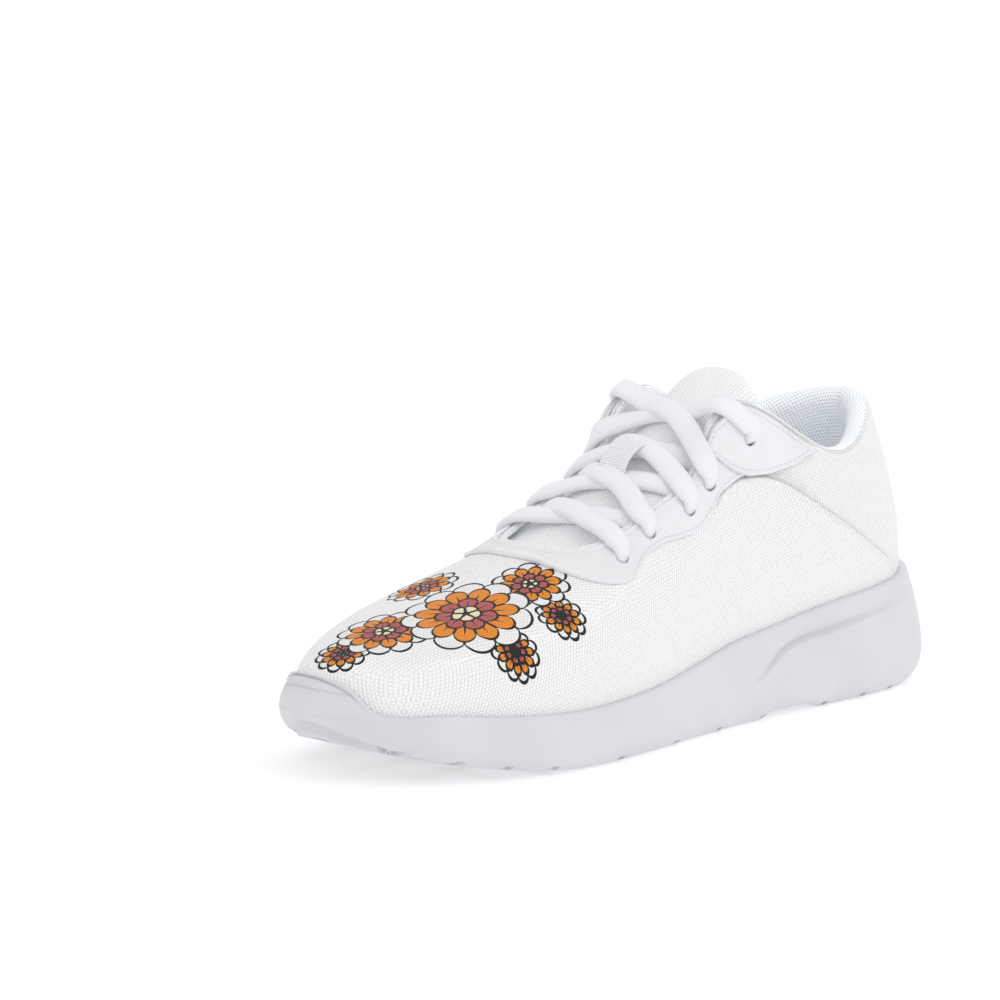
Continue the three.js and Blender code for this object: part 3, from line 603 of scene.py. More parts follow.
def printed(n, position):
    """The print's colour over white, laid on the vamp with its distances from the middle kept."""
    level = (PRINT_LEVEL - PRINT_OUT * PRINT_LEVEL.dot(PRINT_OUT)).normalized()
    axes = (level, PRINT_OUT.cross(level))
    from_middle = n.scale(n.vector("SUBTRACT", position, tuple(PRINT_MIDDLE * MM)), 1 / MM)
    across, up = (n.vector("DOT_PRODUCT", from_middle, tuple(axis)) for axis in axes)
    flat = (across * across + up * up) ** 0.5
    spread = n.vector("LENGTH", from_middle) / n.math("MAXIMUM", flat, 0.001)
    drawn = (1, 1, 1, 1)
    for bloom in BLOOMS:
        drawn = n.group(BLOOM, across * spread, up * spread, *bloom, drawn)
    return drawn


SEAM_SHADE = 0.16  # how much darker the cloth is where the front panel's edge shades it
SEAM_REACH = 3.0  # mm above the seam
FOLD_PITCH = 1.7  # mm between the fine folds above the seam, under the tab
FOLD_SHADE = 0.03


def knit_material(name, light, shade, cell, slant=0.0, print_on=False, seamed=False):
    n = Surface(name, Roughness=0.85, Sheen_Weight=0.1, Sheen_Roughness=0.5)
    position = n.position()
    facing = n.add("ShaderNodeTexCoord", output="Normal")
    height = n.group(KNIT, position, facing, cell, slant) + n.noise(position, 700.0) * 0.5
    ground = n.mix(n.span(height, 0.2, 0.95), shade, light)
    if print_on:
        ground = n.mix(1.0, printed(n, position), ground, "MULTIPLY")
    if seamed:
        above = n.mark("above_seam")
        shadow = n.span(above, 0.0, SEAM_REACH, SEAM_SHADE, 0.0) * n.mark("seam")
        ripple = n.sine(above * (2 * math.pi / FOLD_PITCH)) * n.mark("folded")
        ground = n.mix(1.0, ground, 1.0 - shadow + ripple * FOLD_SHADE, "MULTIPLY")
        height = height + ripple * 0.9
    n.shade(Base_Color=ground)
    n.relief(height, 0.3, 0.6)
    return n.material


def foam_material():
    n = Surface("sole_foam")
    fine = n.noise(n.position(), 1400.0, 3.0)
    broad = n.span(n.noise(n.position(), 30.0), 0.3, 0.7)
    n.shade(
        Base_Color=n.mix(broad, rgb(212, 211, 215), rgb(217, 216, 220)),
        Roughness=n.span(fine, 0.3, 0.7, 0.5, 0.62),
    )
    n.relief(fine, 0.05, 0.5)
    return n.material


def smooth_material():
    n = Surface("smooth_overlay", Coat_Weight=0.08, Coat_Roughness=0.4)
    inputs = {"Vector": n.position(), "Scale": 1300.0}
    grain = n.add("ShaderNodeTexVoronoi", inputs, "Distance", feature="F1")
    broad = n.noise(n.position(), 45.0, 3.0)
    n.shade(
        Base_Color=n.mix(n.span(broad, 0.3, 0.7), rgb(228, 228, 230), rgb(233, 233, 236)),
        Roughness=n.span(broad, 0.3, 0.7, 0.42, 0.55),
    )
    n.relief(broad * 3.0 + grain, 0.08, 0.5)
    return n.material


PAINTED_GLOW = 0.1  # painted glow of the lining and the lace: they give off light of their own, which brightens them as a lamp would


# A cloth material with a painted glow in the given colour, which brightens it as if it were lit.
def glowing_cloth_surface(name, glow, **values):
    return Surface(name, Emission_Color=glow, Emission_Strength=PAINTED_GLOW, **values)


def lining_material(name, light, shade, pitch):
    """Spacer mesh with small holes in staggered rows, on the piece's own cloth plan."""
    # The lining and the insole cloth get a painted glow in their light colour.
    n = glowing_cloth_surface(name, light, Roughness=0.9, Sheen_Weight=0.2, Sheen_Roughness=0.5)
    u, v = (part * (1 / pitch) for part in n.cloth()[:2])
    a = n.math("FRACT", n.math("FLOOR", v) * 0.5 + u) - 0.5
    b = n.math("FRACT", v) - 0.5
    body = n.span((a * a + b * b) ** 0.5, 0.12, 0.36)
    n.shade(Base_Color=n.mix(body, shade, light))
    n.relief(body, 0.35, 0.6)
    return n.material


LACE_LIGHT = rgb(242, 241, 246)
THREAD_PITCH = 1.1  # mm along the lace from one slanting thread to the next


def lace_material():
    """A braided tube: two sets of slanting threads over each other along the lace."""
    # The lace gets a painted glow in its light colour.
    n = glowing_cloth_surface("lace_braid", LACE_LIGHT, Roughness=0.8, Sheen_Weight=0.2, Sheen_Roughness=0.4)
    along, around, _ = n.cloth()
    one, other = (n.sine((around * tilt + along) * (2 * math.pi / THREAD_PITCH)) for tilt in (1.2, -1.2))
    height = one * other
    # The braid's colour follows its relief: painted shade where the threads dip between each other.
    n.shade(Base_Color=n.mix(n.span(height, -0.8, 0.6), rgb(222, 221, 227), LACE_LIGHT))
    n.relief(height, 0.12, 0.6)
    return n.material


RIB_PITCH = 0.9  # mm between the webbing's ribs


def webbing_material():
    n = Surface("webbing", Roughness=0.75, Sheen_Weight=0.15)
    ribs = n.sine(n.cloth()[0] * (2 * math.pi / RIB_PITCH))
    # The colour follows the ribs: painted shade in the grooves between them.
    n.shade(Base_Color=n.mix(n.span(ribs, -0.8, 0.8), rgb(228, 227, 232), rgb(250, 249, 252)))
    n.relief(ribs, 0.2, 0.6)
    return n.material


def thread_material():
    n = Surface("thread", Roughness=0.6)
    n.shade(Base_Color=n.mix(n.noise(n.position(), 2500.0), rgb(204, 204, 211), rgb(228, 228, 233)))
    return n.material


FRONT_MESH = knit_material(
    "front_mesh", rgb(248, 248, 249), rgb(220, 220, 221), 1.1, slant=0.35, print_on=True
)
QUARTER_MESH = knit_material(
    "quarter_mesh", rgb(246, 246, 247), rgb(219, 219, 220), 1.05, slant=-0.12, seamed=True
)
TONGUE_MESH = knit_material("tongue_mesh", rgb(251, 251, 252), rgb(232, 232, 234), 1.15)
FOAM = foam_material()
SMOOTH = smooth_material()
LINING = lining_material("collar_lining", rgb(246, 249, 252), rgb(198, 205, 214), 1.3)
INSOLE_CLOTH = lining_material("insole_cloth", rgb(238, 242, 246), rgb(200, 206, 214), 1.5)
BRAID = lace_material()
WEBBING = webbing_material()
THREAD = thread_material()

# Camera, light and floor

PHOTO_PIXELS = 1000
VIEW_AZIMUTH = math.radians(134.5)
VIEW_HEIGHT = math.radians(10.5)
VIEW_DISTANCE = 3000
VIEW_SCALE = 2.887  # photo pixels for a millimetre at the shoe's middle
VIEW_TARGET = Vector((0, 1.25, 50))
TARGET_PIXEL = (614.5, 580.9)
SENSOR = 36


def add_camera():
    level = math.cos(VIEW_HEIGHT)
    x, y = math.sin(VIEW_AZIMUTH) * level, -math.cos(VIEW_AZIMUTH) * level
    towards = Vector((x, y, math.sin(VIEW_HEIGHT)))
    right = Vector((0, 0, 1)).cross(towards).normalized()
    up = towards.cross(right)
    aside, below = (pixel - PHOTO_PIXELS / 2 for pixel in TARGET_PIXEL)
    aim = VIEW_TARGET + (up * below - right * aside) / VIEW_SCALE
    data = bpy.data.cameras.new("camera")
    data.sensor_width = SENSOR
    data.lens = VIEW_SCALE * VIEW_DISTANCE * SENSOR / PHOTO_PIXELS
    data.clip_end = 20
    camera = bpy.data.objects.new("camera", data)
    turn = Matrix((right, up, towards)).transposed().to_4x4()
    camera.matrix_world = Matrix.Translation((aim + towards * VIEW_DISTANCE) * MM) @ turn
    COLLECTION.objects.link(camera)
    bpy.context.scene.camera = camera


# Soft lamps: where each stands and its width, in metres, and its power in watts.
LAMPS = [
    ("key", (-0.2, 1.8, 1.8), 1.8, 11),
    ("back", (-1.4, -0.9, 1.6), 1.6, 5),
]
LAMP_TARGET = Vector((0, 0, 0.05))
AMBIENT = 0.86
FLOOR_COLOR = rgb(208, 208, 210)
FLOOR_GLOW = 0.45  # the floor's own light, which keeps its shadows as pale as a studio sheet's


def add_lights():
    for name, place, width, power in LAMPS:
        data = bpy.data.lights.new(name, "AREA")
        data.energy = power
        data.size = width
        lamp = bpy.data.objects.new(name, data)
        lamp.location = place
        lamp.rotation_euler = (Vector(place) - LAMP_TARGET).to_track_quat("Z", "Y").to_euler()
        COLLECTION.objects.link(lamp)
    world = bpy.data.worlds.new("studio")
    world.use_nodes = True
    background = world.node_tree.nodes["Background"]
    background.inputs["Color"].default_value = (1, 1, 1, 1)
    background.inputs["Strength"].default_value = AMBIENT
    bpy.context.scene.world = world
    bpy.context.scene.view_settings.view_transform = "Standard"


def add_floor():
    bm = bmesh.new()
    bmesh.ops.create_grid(bm, x_segments=4, y_segments=4, size=6)
    floor = placed("floor", bm)
    glow = {"Emission_Color": (1, 1, 1, 1), "Emission_Strength": FLOOR_GLOW}
    floor.data.materials.append(Surface("floor", Base_Color=FLOOR_COLOR, Roughness=0.9, **glow).material)


add_camera()
add_lights()
add_floor()

# The sole

AROUND = 304  # steps round the shoe


def place_of(i):
    return (i % AROUND) * TURN / AROUND


TREAD_LINE = [
    (0, HEEL_BEVEL), (0.05, HEEL_BEVEL * 0.35), (0.1, 0), (0.255, 0), (0.28, ARCH_LIFT),
    (0.35, ARCH_LIFT), (0.37, 0), (0.67, 0), (0.78, TOE_SPRING * 0.08), (0.835, TOE_SPRING * 0.19),
    (0.893, TOE_SPRING * 0.35), (0.941, TOE_SPRING * 0.54), (0.976, TOE_SPRING * 0.76), (1, TOE_SPRING),
]


@lru_cache(maxsize=None)
def tread_height(x):
    return max(0.0, through(TREAD_LINE, x / LENGTH + 0.5))


CREASE_FADE = 0.3
CREASE_EDGE = 0.015
CREASE_TUCK = 0.45  # share of the crease's depth in the tight fold right above its line
CREASE_TIGHT = 0.2  # and that fold's height, as a share of CREASE_FADE
SIDE_CURVE = 1.6
LIP_ROUND = 0.004


def inset_point(u, inset, z):
    point, outward = outline(u)
    return at_height(point - outward * inset, z)


def side_line(u, h):
    point, outward = outline(u)
    base = tread_height(column("x", u)) + BULGE_HEIGHT
    top = face(u, lip(u), LIP)
    above = (h - column("crease", u)) / CREASE_FADE
    fold = (1 - CREASE_TUCK) * (1 - smooth(above)) + CREASE_TUCK * bump(above, CREASE_TIGHT)
    dent = column("dent", u) * fold if above >= 0 else 0
    plan = point.lerp(at_height(top, 0), h**SIDE_CURVE)
    return at_height(plan - outward * dent, lerp(base, top.z, h))


def edge_line(u, inset, height):
    return inset_point(u, EDGE_TUCK * inset, tread_height(column("x", u)) + BULGE_HEIGHT * height)


def across_sole(u, share, ring_point, height_at=None):
    """A place between the ring and the sole's middle line: share 0 on the line, 1 on the ring.

    height_at gives its height from its x. Without it the place is as high as the ring.
    """
    near, far = ring_point(u), ring_point(TURN - u)
    here = ((near + far) / 2).lerp(near, share)
    return at_height(here, height_at(here.x) if height_at else near.z)


# Moulded lines round the toe guard: height at the toe's tip, fall for each mm from there, depth, width
# and how far they reach to each side, in mm.
TOE_LINES = [(33.0, 0.12, 1.0, 0.6, 21), (24.2, 0.02, 0.5, 0.8, 26)]
TOE_TIP_Y = -8
# Slanting flutes low on the forefoot's side: pitch, slant, depth and height in mm, and their ring places.
FLUTE_PITCH, FLUTE_SLANT, FLUTE_DEPTH, FLUTE_HEIGHT = 7.5, 1.4, 0.4, 7.5
FLUTE_FROM, FLUTE_TO = 1.2, 5.2


def moulded(u, p):
    """How deep the toe guard's lines and the flutes are at a place of the sole's side."""
    from_toe = min(u, TURN - u)
    depth = 0.0
    if from_toe < 5:
        aside = abs(p.y - TOE_TIP_Y)
        for height, fall, deep, width, reach in TOE_LINES:
            depth += deep * bump(p.z - height + fall * aside, width) * smooth((reach - aside) / 6)
    if FLUTE_FROM < from_toe < FLUTE_TO:
        up = p.z - tread_height(p.x)
        wave = math.sin(2 * math.pi * (p.x + FLUTE_SLANT * up) / FLUTE_PITCH)
        ends = smooth((from_toe - FLUTE_FROM) / 0.6) * smooth((FLUTE_TO - from_toe) / 1.5)
        depth += FLUTE_DEPTH * max(0.0, wave) * smooth((FLUTE_HEIGHT - up) / 4) * ends
    return depth


SIDE_BELOW = [0, 0.1, 0.2, 0.3, 0.4, 0.52, 0.64, 0.76, 0.87, 0.95, 1]
SIDE_ABOVE = [0, 0.02, 0.05, 0.09, 0.14, 0.2, 0.28, 0.36, 0.45, 0.54, 0.64, 0.74, 0.84, 0.92, 0.97]
UNDERSIDE = [0, 0.25, 0.5, 0.75, 0.93]
LIP_ROWS = [(0.7, 0.85), (1.0, 0.5), (0.9, 0.2), (0.5, 0.01)]  # shares of LIP_ROUND and of LIP
CUP_DOWN = [0.75, 0.5, 0.25, 0]
BED_ROWS = [0.97, 0.75, 0.5, 0.25, 0]
# The rounded edge under the side: inset, as a share of EDGE_TUCK, at each share of BULGE_HEIGHT.
EDGE_CURVE = [(0, 1), (0.06, 0.7), (0.2, 0.42), (0.37, 0.22), (0.55, 0.1), (0.8, 0.03), (1, 0)]
EDGE_ROWS = [0, 0.03, 0.07, 0.12, 0.18, 0.25, 0.32, 0.39, 0.46, 0.53, 0.6, 0.67, 0.75, 0.83, 0.91]


def sole_profile():
    """The sole's rows from the middle of its tread round its side into the cup: functions of u."""

    def under(u, share):
        return across_sole(u, share, lambda w: edge_line(w, 1, 0), tread_height)

    def carved(u, p):
        return p - outline(u)[1] * moulded(u, p)

    def edge(u, height):
        return carved(u, edge_line(u, through(EDGE_CURVE, height), height))

    def below(u, t):
        return carved(u, side_line(u, (column("crease", u) - CREASE_EDGE) * t))

    def above(u, t):
        return carved(u, side_line(u, lerp(column("crease", u) + CREASE_EDGE, 1, t)))

    def turned(u, shares):
        return face(u, lip(u) + LIP_ROUND * shares[0], LIP * shares[1])

    def cup(u, share):
        p = face(u, lip(u) * share, GAP)
        return p if share else at_height(p, column("bed", u))

    def bed(u, share):
        return across_sole(u, share, lambda w: cup(w, 0))

    stretches = (
        (under, UNDERSIDE), (edge, EDGE_ROWS), (below, SIDE_BELOW), (above, SIDE_ABOVE),
        (turned, LIP_ROWS), (cup, CUP_DOWN), (bed, BED_ROWS),
    )
    return [lambda u, at=at, line=line: line(u, at) for line, places in stretches for at in places]


CROSS_GROOVES = [0.045, 0.085, 0.13, 0.185, 0.255, 0.37, 0.455, 0.545, 0.655, 0.765, 0.825, 0.88, 0.93]
LONG_GROOVES = [
    (0.04, 0.33, 0.22), (0.04, 0.33, -0.26), (0.47, 0.95, 0.3), (0.47, 0.965, -0.15), (0.47, 0.95, -0.58),
]
GROOVE_STEP = 12  # mm between a cutter's places along its length
BELOW_FLOOR = -10


def groove(bm, low_x, high_x, low_y, high_y):
    """Adds a groove's cutter: a bar whose top follows the tread at the groove's depth."""
    steps = max(1, round((high_x - low_x) / GROOVE_STEP))
    made = bmesh.ops.create_grid(bm, x_segments=steps, y_segments=1, size=1)["verts"]
    for vert in made:
        x = lerp(low_x, high_x, (vert.co.x + 1) / 2)
        y = low_y if vert.co.y < 0 else high_y
        vert.co = Vector((x, y, tread_height(x) + TREAD_DEPTH)) * MM
    top = list({quad for vert in made for quad in vert.link_faces})
    pulled = bmesh.ops.extrude_face_region(bm, geom=top, use_keep_orig=True)["geom"]
    for part in pulled:
        if isinstance(part, bmesh.types.BMVert):
            part.co.z = BELOW_FLOOR * MM


def make_sole():
    rows = sole_profile()
    bm = grid(AROUND, len(rows) - 1, lambda i, k: rows[k](place_of(i)))
    bmesh.ops.recalc_face_normals(bm, faces=bm.faces)
    sole = piece("sole_unit", bm, [FOAM], ["sole"])
    cutter = bmesh.new()
    for share in CROSS_GROOVES:
        x = (share - 0.5) * LENGTH - TREAD_GAP / 2
        groove(cutter, x, x + TREAD_GAP, -BALL_WIDTH, BALL_WIDTH)
    for start, end, share in LONG_GROOVES:
        y = share * BALL_WIDTH / 2 - TREAD_GAP / 2
        groove(cutter, (start - 0.5) * LENGTH, (end - 0.5) * LENGTH, y, y + TREAD_GAP)
    bmesh.ops.recalc_face_normals(cutter, faces=cutter.faces)
    bars = placed("grooves", cutter)
    cut(sole, bars)
    drop(bars)


make_sole()

# The upper

BELOW_SEAM = [0.07 * k for k in range(1, 13)] + [0.9, 0.95, 0.98, 1]
ABOVE_SEAM = [0, 0.02, 0.05, 0.09, 0.14] + [0.14 + 0.06 * k for k in range(1, 14)] + [0.96, 1]
CUP_SHARES = [0, 0.35, 0.7, 1]
ROLL_STEPS = 8
INNER_ROWS = [1 - 0.1 * k for k in range(11)]
COLLAR_FROM = 12.6  # ring place where the lining starts to come up to the rim's outer edge
QUARTER_FROM = 10.6  # ring place where the quarter's cloth starts above the seam
FOLDED_EDGE = 0.7  # how much thicker the front panel's folded edge is
TAB_FOLDS = (11.6, 14.6)  # ring places of the fine folds between the tab and the seam
TAB_FOLD_REACH = 8  # mm above the seam

# Creases of the upper, listed one by one: from ring place and rib share to another, width and depth in mm.
CREASES = [
    (13.6, 0.80, 15.4, 0.54, 1.6, 0.55), (13.2, 0.77, 14.7, 0.61, 1.3, 0.45),
    (14.3, 0.85, 16.0, 0.52, 2.0, 0.4), (-13.6, 0.80, -15.4, 0.54, 1.6, 0.5),
    (-14.3, 0.85, -16.0, 0.52, 2.0, 0.4), (3.2, 0.62, 5.4, 0.42, 5.0, 0.35),
    (-3.4, 0.62, -5.2, 0.42, 5.0, 0.35), (0.4, 0.3, 0.6, 0.5, 4.0, 0.4),
    (17.6, 0.55, 18.4, 0.4, 5.0, 0.4),
]


def near_line(p, a, b):
    """How far p lies from the line between a and b, and its share of the way along."""
    along = b - a
    t = clamp((p - a).dot(along) / along.length_squared)
    return (p - a - along * t).length, t


CREASE_ENDS = [
    (u0, u1, rib(u0, v0), rib(u1, v1), width, depth)
    for u0, v0, u1, v1, width, depth in CREASES
]


def folds(u, v):
    """Depth of the creases at a place."""
    at = u if u <= TURN / 2 else u - TURN
    total = 0.0
    p = None
    for u0, u1, a, b, width, depth in CREASE_ENDS:
        if min(u0, u1) - 1.5 < at < max(u0, u1) + 1.5:
            p = p or rib(u, v)
            far, t = near_line(p, a, b)
            if far < 3 * width:
                ridge = 0.45 * bump(far - 1.6 * width, width)
                total += depth * (ridge - bump(far, width)) * math.sin(math.pi * clamp(t, 0.08, 0.92))
    return total


def outside(u, v):
    edge = seam_at(u) - v
    lift = FOLDED_EDGE * column("step", u) / PANEL_STEP * bump(edge - 0.014, 0.012) if edge > 0 else 0.0
    return face(u, v, folds(u, v) + max(0.0, lift))


def outer_places():
    """The outside's rows as functions from u to the share of the rib."""
    places = [lambda u, s=s: lip(u) * s for s in CUP_SHARES]
    places += [lambda u, s=s: lerp(lip(u), seam_at(u) - SEAM_FADE / 2, s) for s in BELOW_SEAM]
    places += [lambda u, s=s: lerp(seam_at(u) + SEAM_FADE / 2, 1, s) for s in ABOVE_SEAM]
    return places


OUTER = outer_places()
SEAM_ROW = len(CUP_SHARES) + len(BELOW_SEAM)  # first row above the seam
LINING_ROW = len(OUTER)  # first row past the rim's outside


def upper_rows():
    """Rows of the shell from its foot up the outside, over the rim and down the inside."""
    rows = [lambda u, at=at: outside(u, at(u)) for at in OUTER]

    def inner(u, v):
        return rib(u, v) - normal(u, v) * wall(u, v)

    def roll(u, angle):
        out, inside = outside(u, 1), inner(u, 1)
        up = (rib(u, 1) - rib(u, 0.97)).normalized()
        middle = (out + inside) / 2
        arm = out - middle
        return middle + arm * math.cos(angle) + up * (arm.length * math.sin(angle))

    for k in range(1, ROLL_STEPS):
        rows.append(lambda u, k=k: roll(u, math.pi * k / ROLL_STEPS))
    rows += [lambda u, v=v: inner(u, v) for v in INNER_ROWS]
    return rows


CLOTH_AROUND = 620  # mm of cloth round the collar's turn, for the lining's holes


@lru_cache(maxsize=None)
def rib_length(u):
    return sum((rib(u, (k + 1) / 12) - rib(u, k / 12)).length for k in range(12))


def make_upper():
    rows = upper_rows()
    count = len(rows)

    @lru_cache(maxsize=None)
    def on_shell(i, k):
        return rows[k](place_of(i))

    def place(i, k):
        return on_shell(i % AROUND, k % count)

    @lru_cache(maxsize=None)
    def along(i, k):
        """Distance up the rib's cloth from its foot."""
        return along(i, k - 1) + (place(i, k) - place(i, k - 1)).length if k else 0.0

    def panel(i, k):
        """Which material a face has: the front panel's, the lining or the quarter's."""
        u = place_of(i)
        from_toe = min(u, TURN - u)
        rim = LINING_ROW + 1 if from_toe > COLLAR_FROM else LINING_ROW + ROLL_STEPS // 2
        if rim <= k < count:
            return 1
        return 2 if SEAM_ROW - 1 < k < LINING_ROW + ROLL_STEPS and from_toe > QUARTER_FROM else 0

    def above_seam(i, k):
        u = place_of(i)
        return (OUTER[k](u) - seam_at(u)) * rib_length(u) if SEAM_ROW <= k < LINING_ROW else 0.0

    def folded(i, k):
        u = place_of(i)
        from_toe = min(u, TURN - u)
        start, end = TAB_FOLDS
        within = smooth((from_toe - start) / 0.6) * smooth((end - from_toe) / 0.8)
        return within * smooth((TAB_FOLD_REACH - above_seam(i, k)) / 4)

    def stepped(i, k):
        return clamp(column("step", place_of(i)) / PANEL_STEP)

    def cloth(i, k):
        return i / AROUND * CLOTH_AROUND, along(i, k)

    marks = {"above_seam": above_seam, "seam": stepped, "folded": folded}
    bm = grid(AROUND, count, place, cloth, panel, marks)
    bmesh.ops.recalc_face_normals(bm, faces=bm.faces)
    return piece("upper_shell", bm, [FRONT_MESH, LINING, QUARTER_MESH], ["upper"])


upper = make_upper()

# Eyestay and tabs

STAY_EDGE = [
    (0, 0.95), (1, 0.95), (2, 0.945), (3, 0.93), (4, 0.9), (5, 0.84), (5.5, 0.8), (6, 0.76),
    (6.25, 0.745), (6.5, 0.74), (6.75, 0.76), (7, 0.79), (7.25, 0.81), (7.5, 0.81), (8, 0.79),
    (8.5, 0.75), (9, 0.715), (9.5, 0.7), (10, 0.7), (10.5, 0.705), (11, 0.69), (11.5, 0.69), (12, 0.69),
]
TAB_EDGE = [
    (10.25, 0.96), (10.5, 0.91), (10.75, 0.855), (11, 0.8), (11.25, 0.75), (11.5, 0.715), (11.75, 0.69),
    (12, 0.68), (12.5, 0.695), (13, 0.74), (13.5, 0.815), (13.75, 0.87), (14, 0.925), (14.25, 0.965),
]
EYELETS = [(6.3, 0.88), (7.6, 0.9), (8.9, 0.86), (10.1, 0.83), (12, 0.84)]
PUNCH = 16  # length of an eyelet's cutter
OVERLAY_TOP = 0.988
STAY_BASE, STAY_TOP = 0.12, 1.25  # the eyestay's underside and top over the mesh
TAB_BASE, TAB_TOP = 1.35, 2.45  # the tabs' over the eyestay
TAB_LOW = 0.15  # and their underside behind the eyestay's end
EDGE_MM = [0, 0.12, 0.35, 0.7, 1.1, 1.5, 1.9, 2.3, 2.8]  # rows beside each edge, mm inside it
EDGE_ROUND = 0.45  # how far the edge is rounded, mm
BEAD, BEAD_AT, BEAD_WIDTH = 0.2, 0.8, 0.6  # the rolled edge's rise, and the line pressed inside it, mm
LINE, LINE_AT, LINE_WIDTH = 0.22, 1.9, 0.4
FIELD_ROWS = 9


def tab_base(u):
    return lerp(TAB_BASE, TAB_LOW, smooth((abs(u) - 12.1) / 0.9))


def tab_top(u):
    return tab_base(u) + TAB_TOP - TAB_BASE


def edge_relief(inside, depth):
    """How high the top stands over a sheet's plain face, mm inside its edge."""
    corner = clamp(1 - inside / EDGE_ROUND)
    raised = BEAD * bump(inside - BEAD_AT, BEAD_WIDTH) - LINE * bump(inside - LINE_AT, LINE_WIDTH)
    return raised - 0.6 * depth * corner * corner


def overlay(name, edge, start, end, base_at, top_at, node):
    """A sheet over the upper from its lower edge to the topline, with rolled edges."""
    across = round((end - start) * 12)
    edge_rows = len(EDGE_MM)
    top_rows = 2 * edge_rows + FIELD_ROWS

    def place(i, k):
        u = lerp(start, end, i / across)
        low = through(edge, abs(u))
        width = (OVERLAY_TOP - low) * rib_length(u)
        k %= top_rows + 2
        base, top = base_at(u), top_at(u)
        if k >= top_rows:
            return over(u, OVERLAY_TOP if k == top_rows else low, base)
        squeeze = min(1.0, width / (2.4 * EDGE_MM[-1]))
        if k < edge_rows:
            inside = EDGE_MM[k] * squeeze
        elif k >= edge_rows + FIELD_ROWS:
            inside = width - EDGE_MM[top_rows - 1 - k] * squeeze
        else:
            rim = EDGE_MM[-1] * squeeze
            inside = lerp(rim, width - rim, (k - edge_rows + 1) / (FIELD_ROWS + 1))
        shape = edge_relief(min(inside, width - inside), top - base)
        return over(u, lerp(low, OVERLAY_TOP, inside / width), top + shape)

    bm = grid(across, top_rows + 2, place)
    close_ends(bm)
    return piece(name, bm, [SMOOTH], [node])


stay = overlay("eyestay_sheet", STAY_EDGE, -12.0, 12.0, lambda u: STAY_BASE, lambda u: STAY_TOP, "eyestay")
tabs = [
    overlay("outer_tab_sheet", TAB_EDGE, 10.25, 14.25, tab_base, tab_top, "lateral_tab"),
    overlay("inner_tab_sheet", TAB_EDGE, -14.25, -10.25, tab_base, tab_top, "medial_tab"),
]


def punch():
    """Cutters for the eyelets through the upper, the eyestay and the tabs."""
    bm = bmesh.new()
    for u, v in EYELETS:
        for side in (1, -1):
            axis = normal(side * u, v)
            turn = axis.to_track_quat("Z", "Y").to_matrix().to_4x4()
            at = Matrix.Translation(over(side * u, v, 0) * MM)
            sizes = {"radius1": EYELET_HOLE / 2 * MM, "radius2": EYELET_HOLE / 2 * MM, "depth": PUNCH * MM}
            bmesh.ops.create_cone(bm, cap_ends=True, segments=20, matrix=at @ turn, **sizes)
    return placed("punch", bm)


punches = punch()
for punched in (upper, stay, *tabs):
    cut(punched, punches)
drop(punches)

# Stitches

STITCH_LENGTH = 1.2
STITCH_PITCH = 2.1
STITCH_WIDTH = 0.4
STITCH_SUNK = 0.12  # how far its middle lies in an overlay
STITCH_PROUD = 0.02  # and how far over the mesh


def stitch_row(bm, path, ups):
    """Adds stitches at even steps along a path, lying flat on the surface."""
    gone = 0.0
    for a, b, up in zip(path, path[1:], ups):
        step = (b - a).length
        if step == 0:
            continue
        while gone < step:
            at = a.lerp(b, gone / step)
            along = (b - a).normalized()
            side = up.cross(along).normalized()
            turn = Matrix((along, side, along.cross(side))).transposed().to_4x4()
            size = Matrix.Diagonal((STITCH_LENGTH, STITCH_WIDTH, STITCH_WIDTH, 1))
            matrix = Matrix.Translation(at * MM) @ turn @ size
            bmesh.ops.create_uvsphere(bm, u_segments=6, v_segments=4, radius=0.5 * MM, matrix=matrix)
            gone += STITCH_PITCH
        gone -= step


def sewn_line(bm, start, end, share_at, height_at):
    steps = round(abs(end - start) * 24)
    places = [lerp(start, end, k / steps) for k in range(steps + 1)]
    path = [over(u, share_at(u), height_at(u)) for u in places]
    stitch_row(bm, path, [normal(u, share_at(u)) for u in places])


INSIDE_EDGE = 0.025  # how far a stitch line lies inside an overlay's edge, as a share of the rib
SEAM_STITCH = 0.024  # and below the front panel's edge


def make_stitches():
    bm = bmesh.new()

    def stay_line(u):
        return through(STAY_EDGE, abs(u)) + INSIDE_EDGE

    throat = OVERLAY_TOP - INSIDE_EDGE

    def tab_line(u):
        return min(through(TAB_EDGE, abs(u)) + INSIDE_EDGE, throat)

    def seam_line(u):
        return seam_at(u) - SEAM_STITCH

    def tab_height(u):
        return tab_top(u) - STITCH_SUNK

    for side in (1, -1):
        sewn_line(bm, side * 6.9, side * 11.9, stay_line, lambda u: STAY_TOP - STITCH_SUNK)
        sewn_line(bm, side * 10.45, side * 14.05, tab_line, tab_height)
        sewn_line(bm, side * 10.6, side * 13.9, lambda u: throat, tab_height)
        sewn_line(bm, side * 12.2, side * 17.4, seam_line, lambda u: STITCH_PROUD)
    for quad in bm.faces:
        quad.smooth = True
    piece("overlay_stitches", bm, [THREAD])


make_stitches()

# The tongue and its loop

TONGUE_COLUMNS = ("x", "z", "half", "hang", "thick")
TONGUE_ROWS = [
    (0.683, 0.508, 0.30, 0.06, 0.5),
    (0.638, 0.542, 0.35, 0.09, 0.6),
    (0.603, 0.571, 0.40, 0.11, 0.7),
    (0.566, 0.618, 0.45, 0.13, 0.8),
    (0.510, 0.697, 0.49, 0.15, 1.0),
    (0.448, 0.790, 0.46, 0.15, 1.0),
    (0.407, 0.866, 0.43, 0.15, 1.0),
    (0.362, 0.941, 0.43, 0.15, 1.0),
    (0.328, 0.987, 0.42, 0.13, 1.0),
    (0.307, 1.000, 0.30, 0.08, 0.8),
]
TONGUE_SPANS = len(TONGUE_ROWS) - 1


def tongue_value(name, t):
    table = [(k, row[TONGUE_COLUMNS.index(name)]) for k, row in enumerate(TONGUE_ROWS)]
    return through(table, clamp(t) * TONGUE_SPANS)


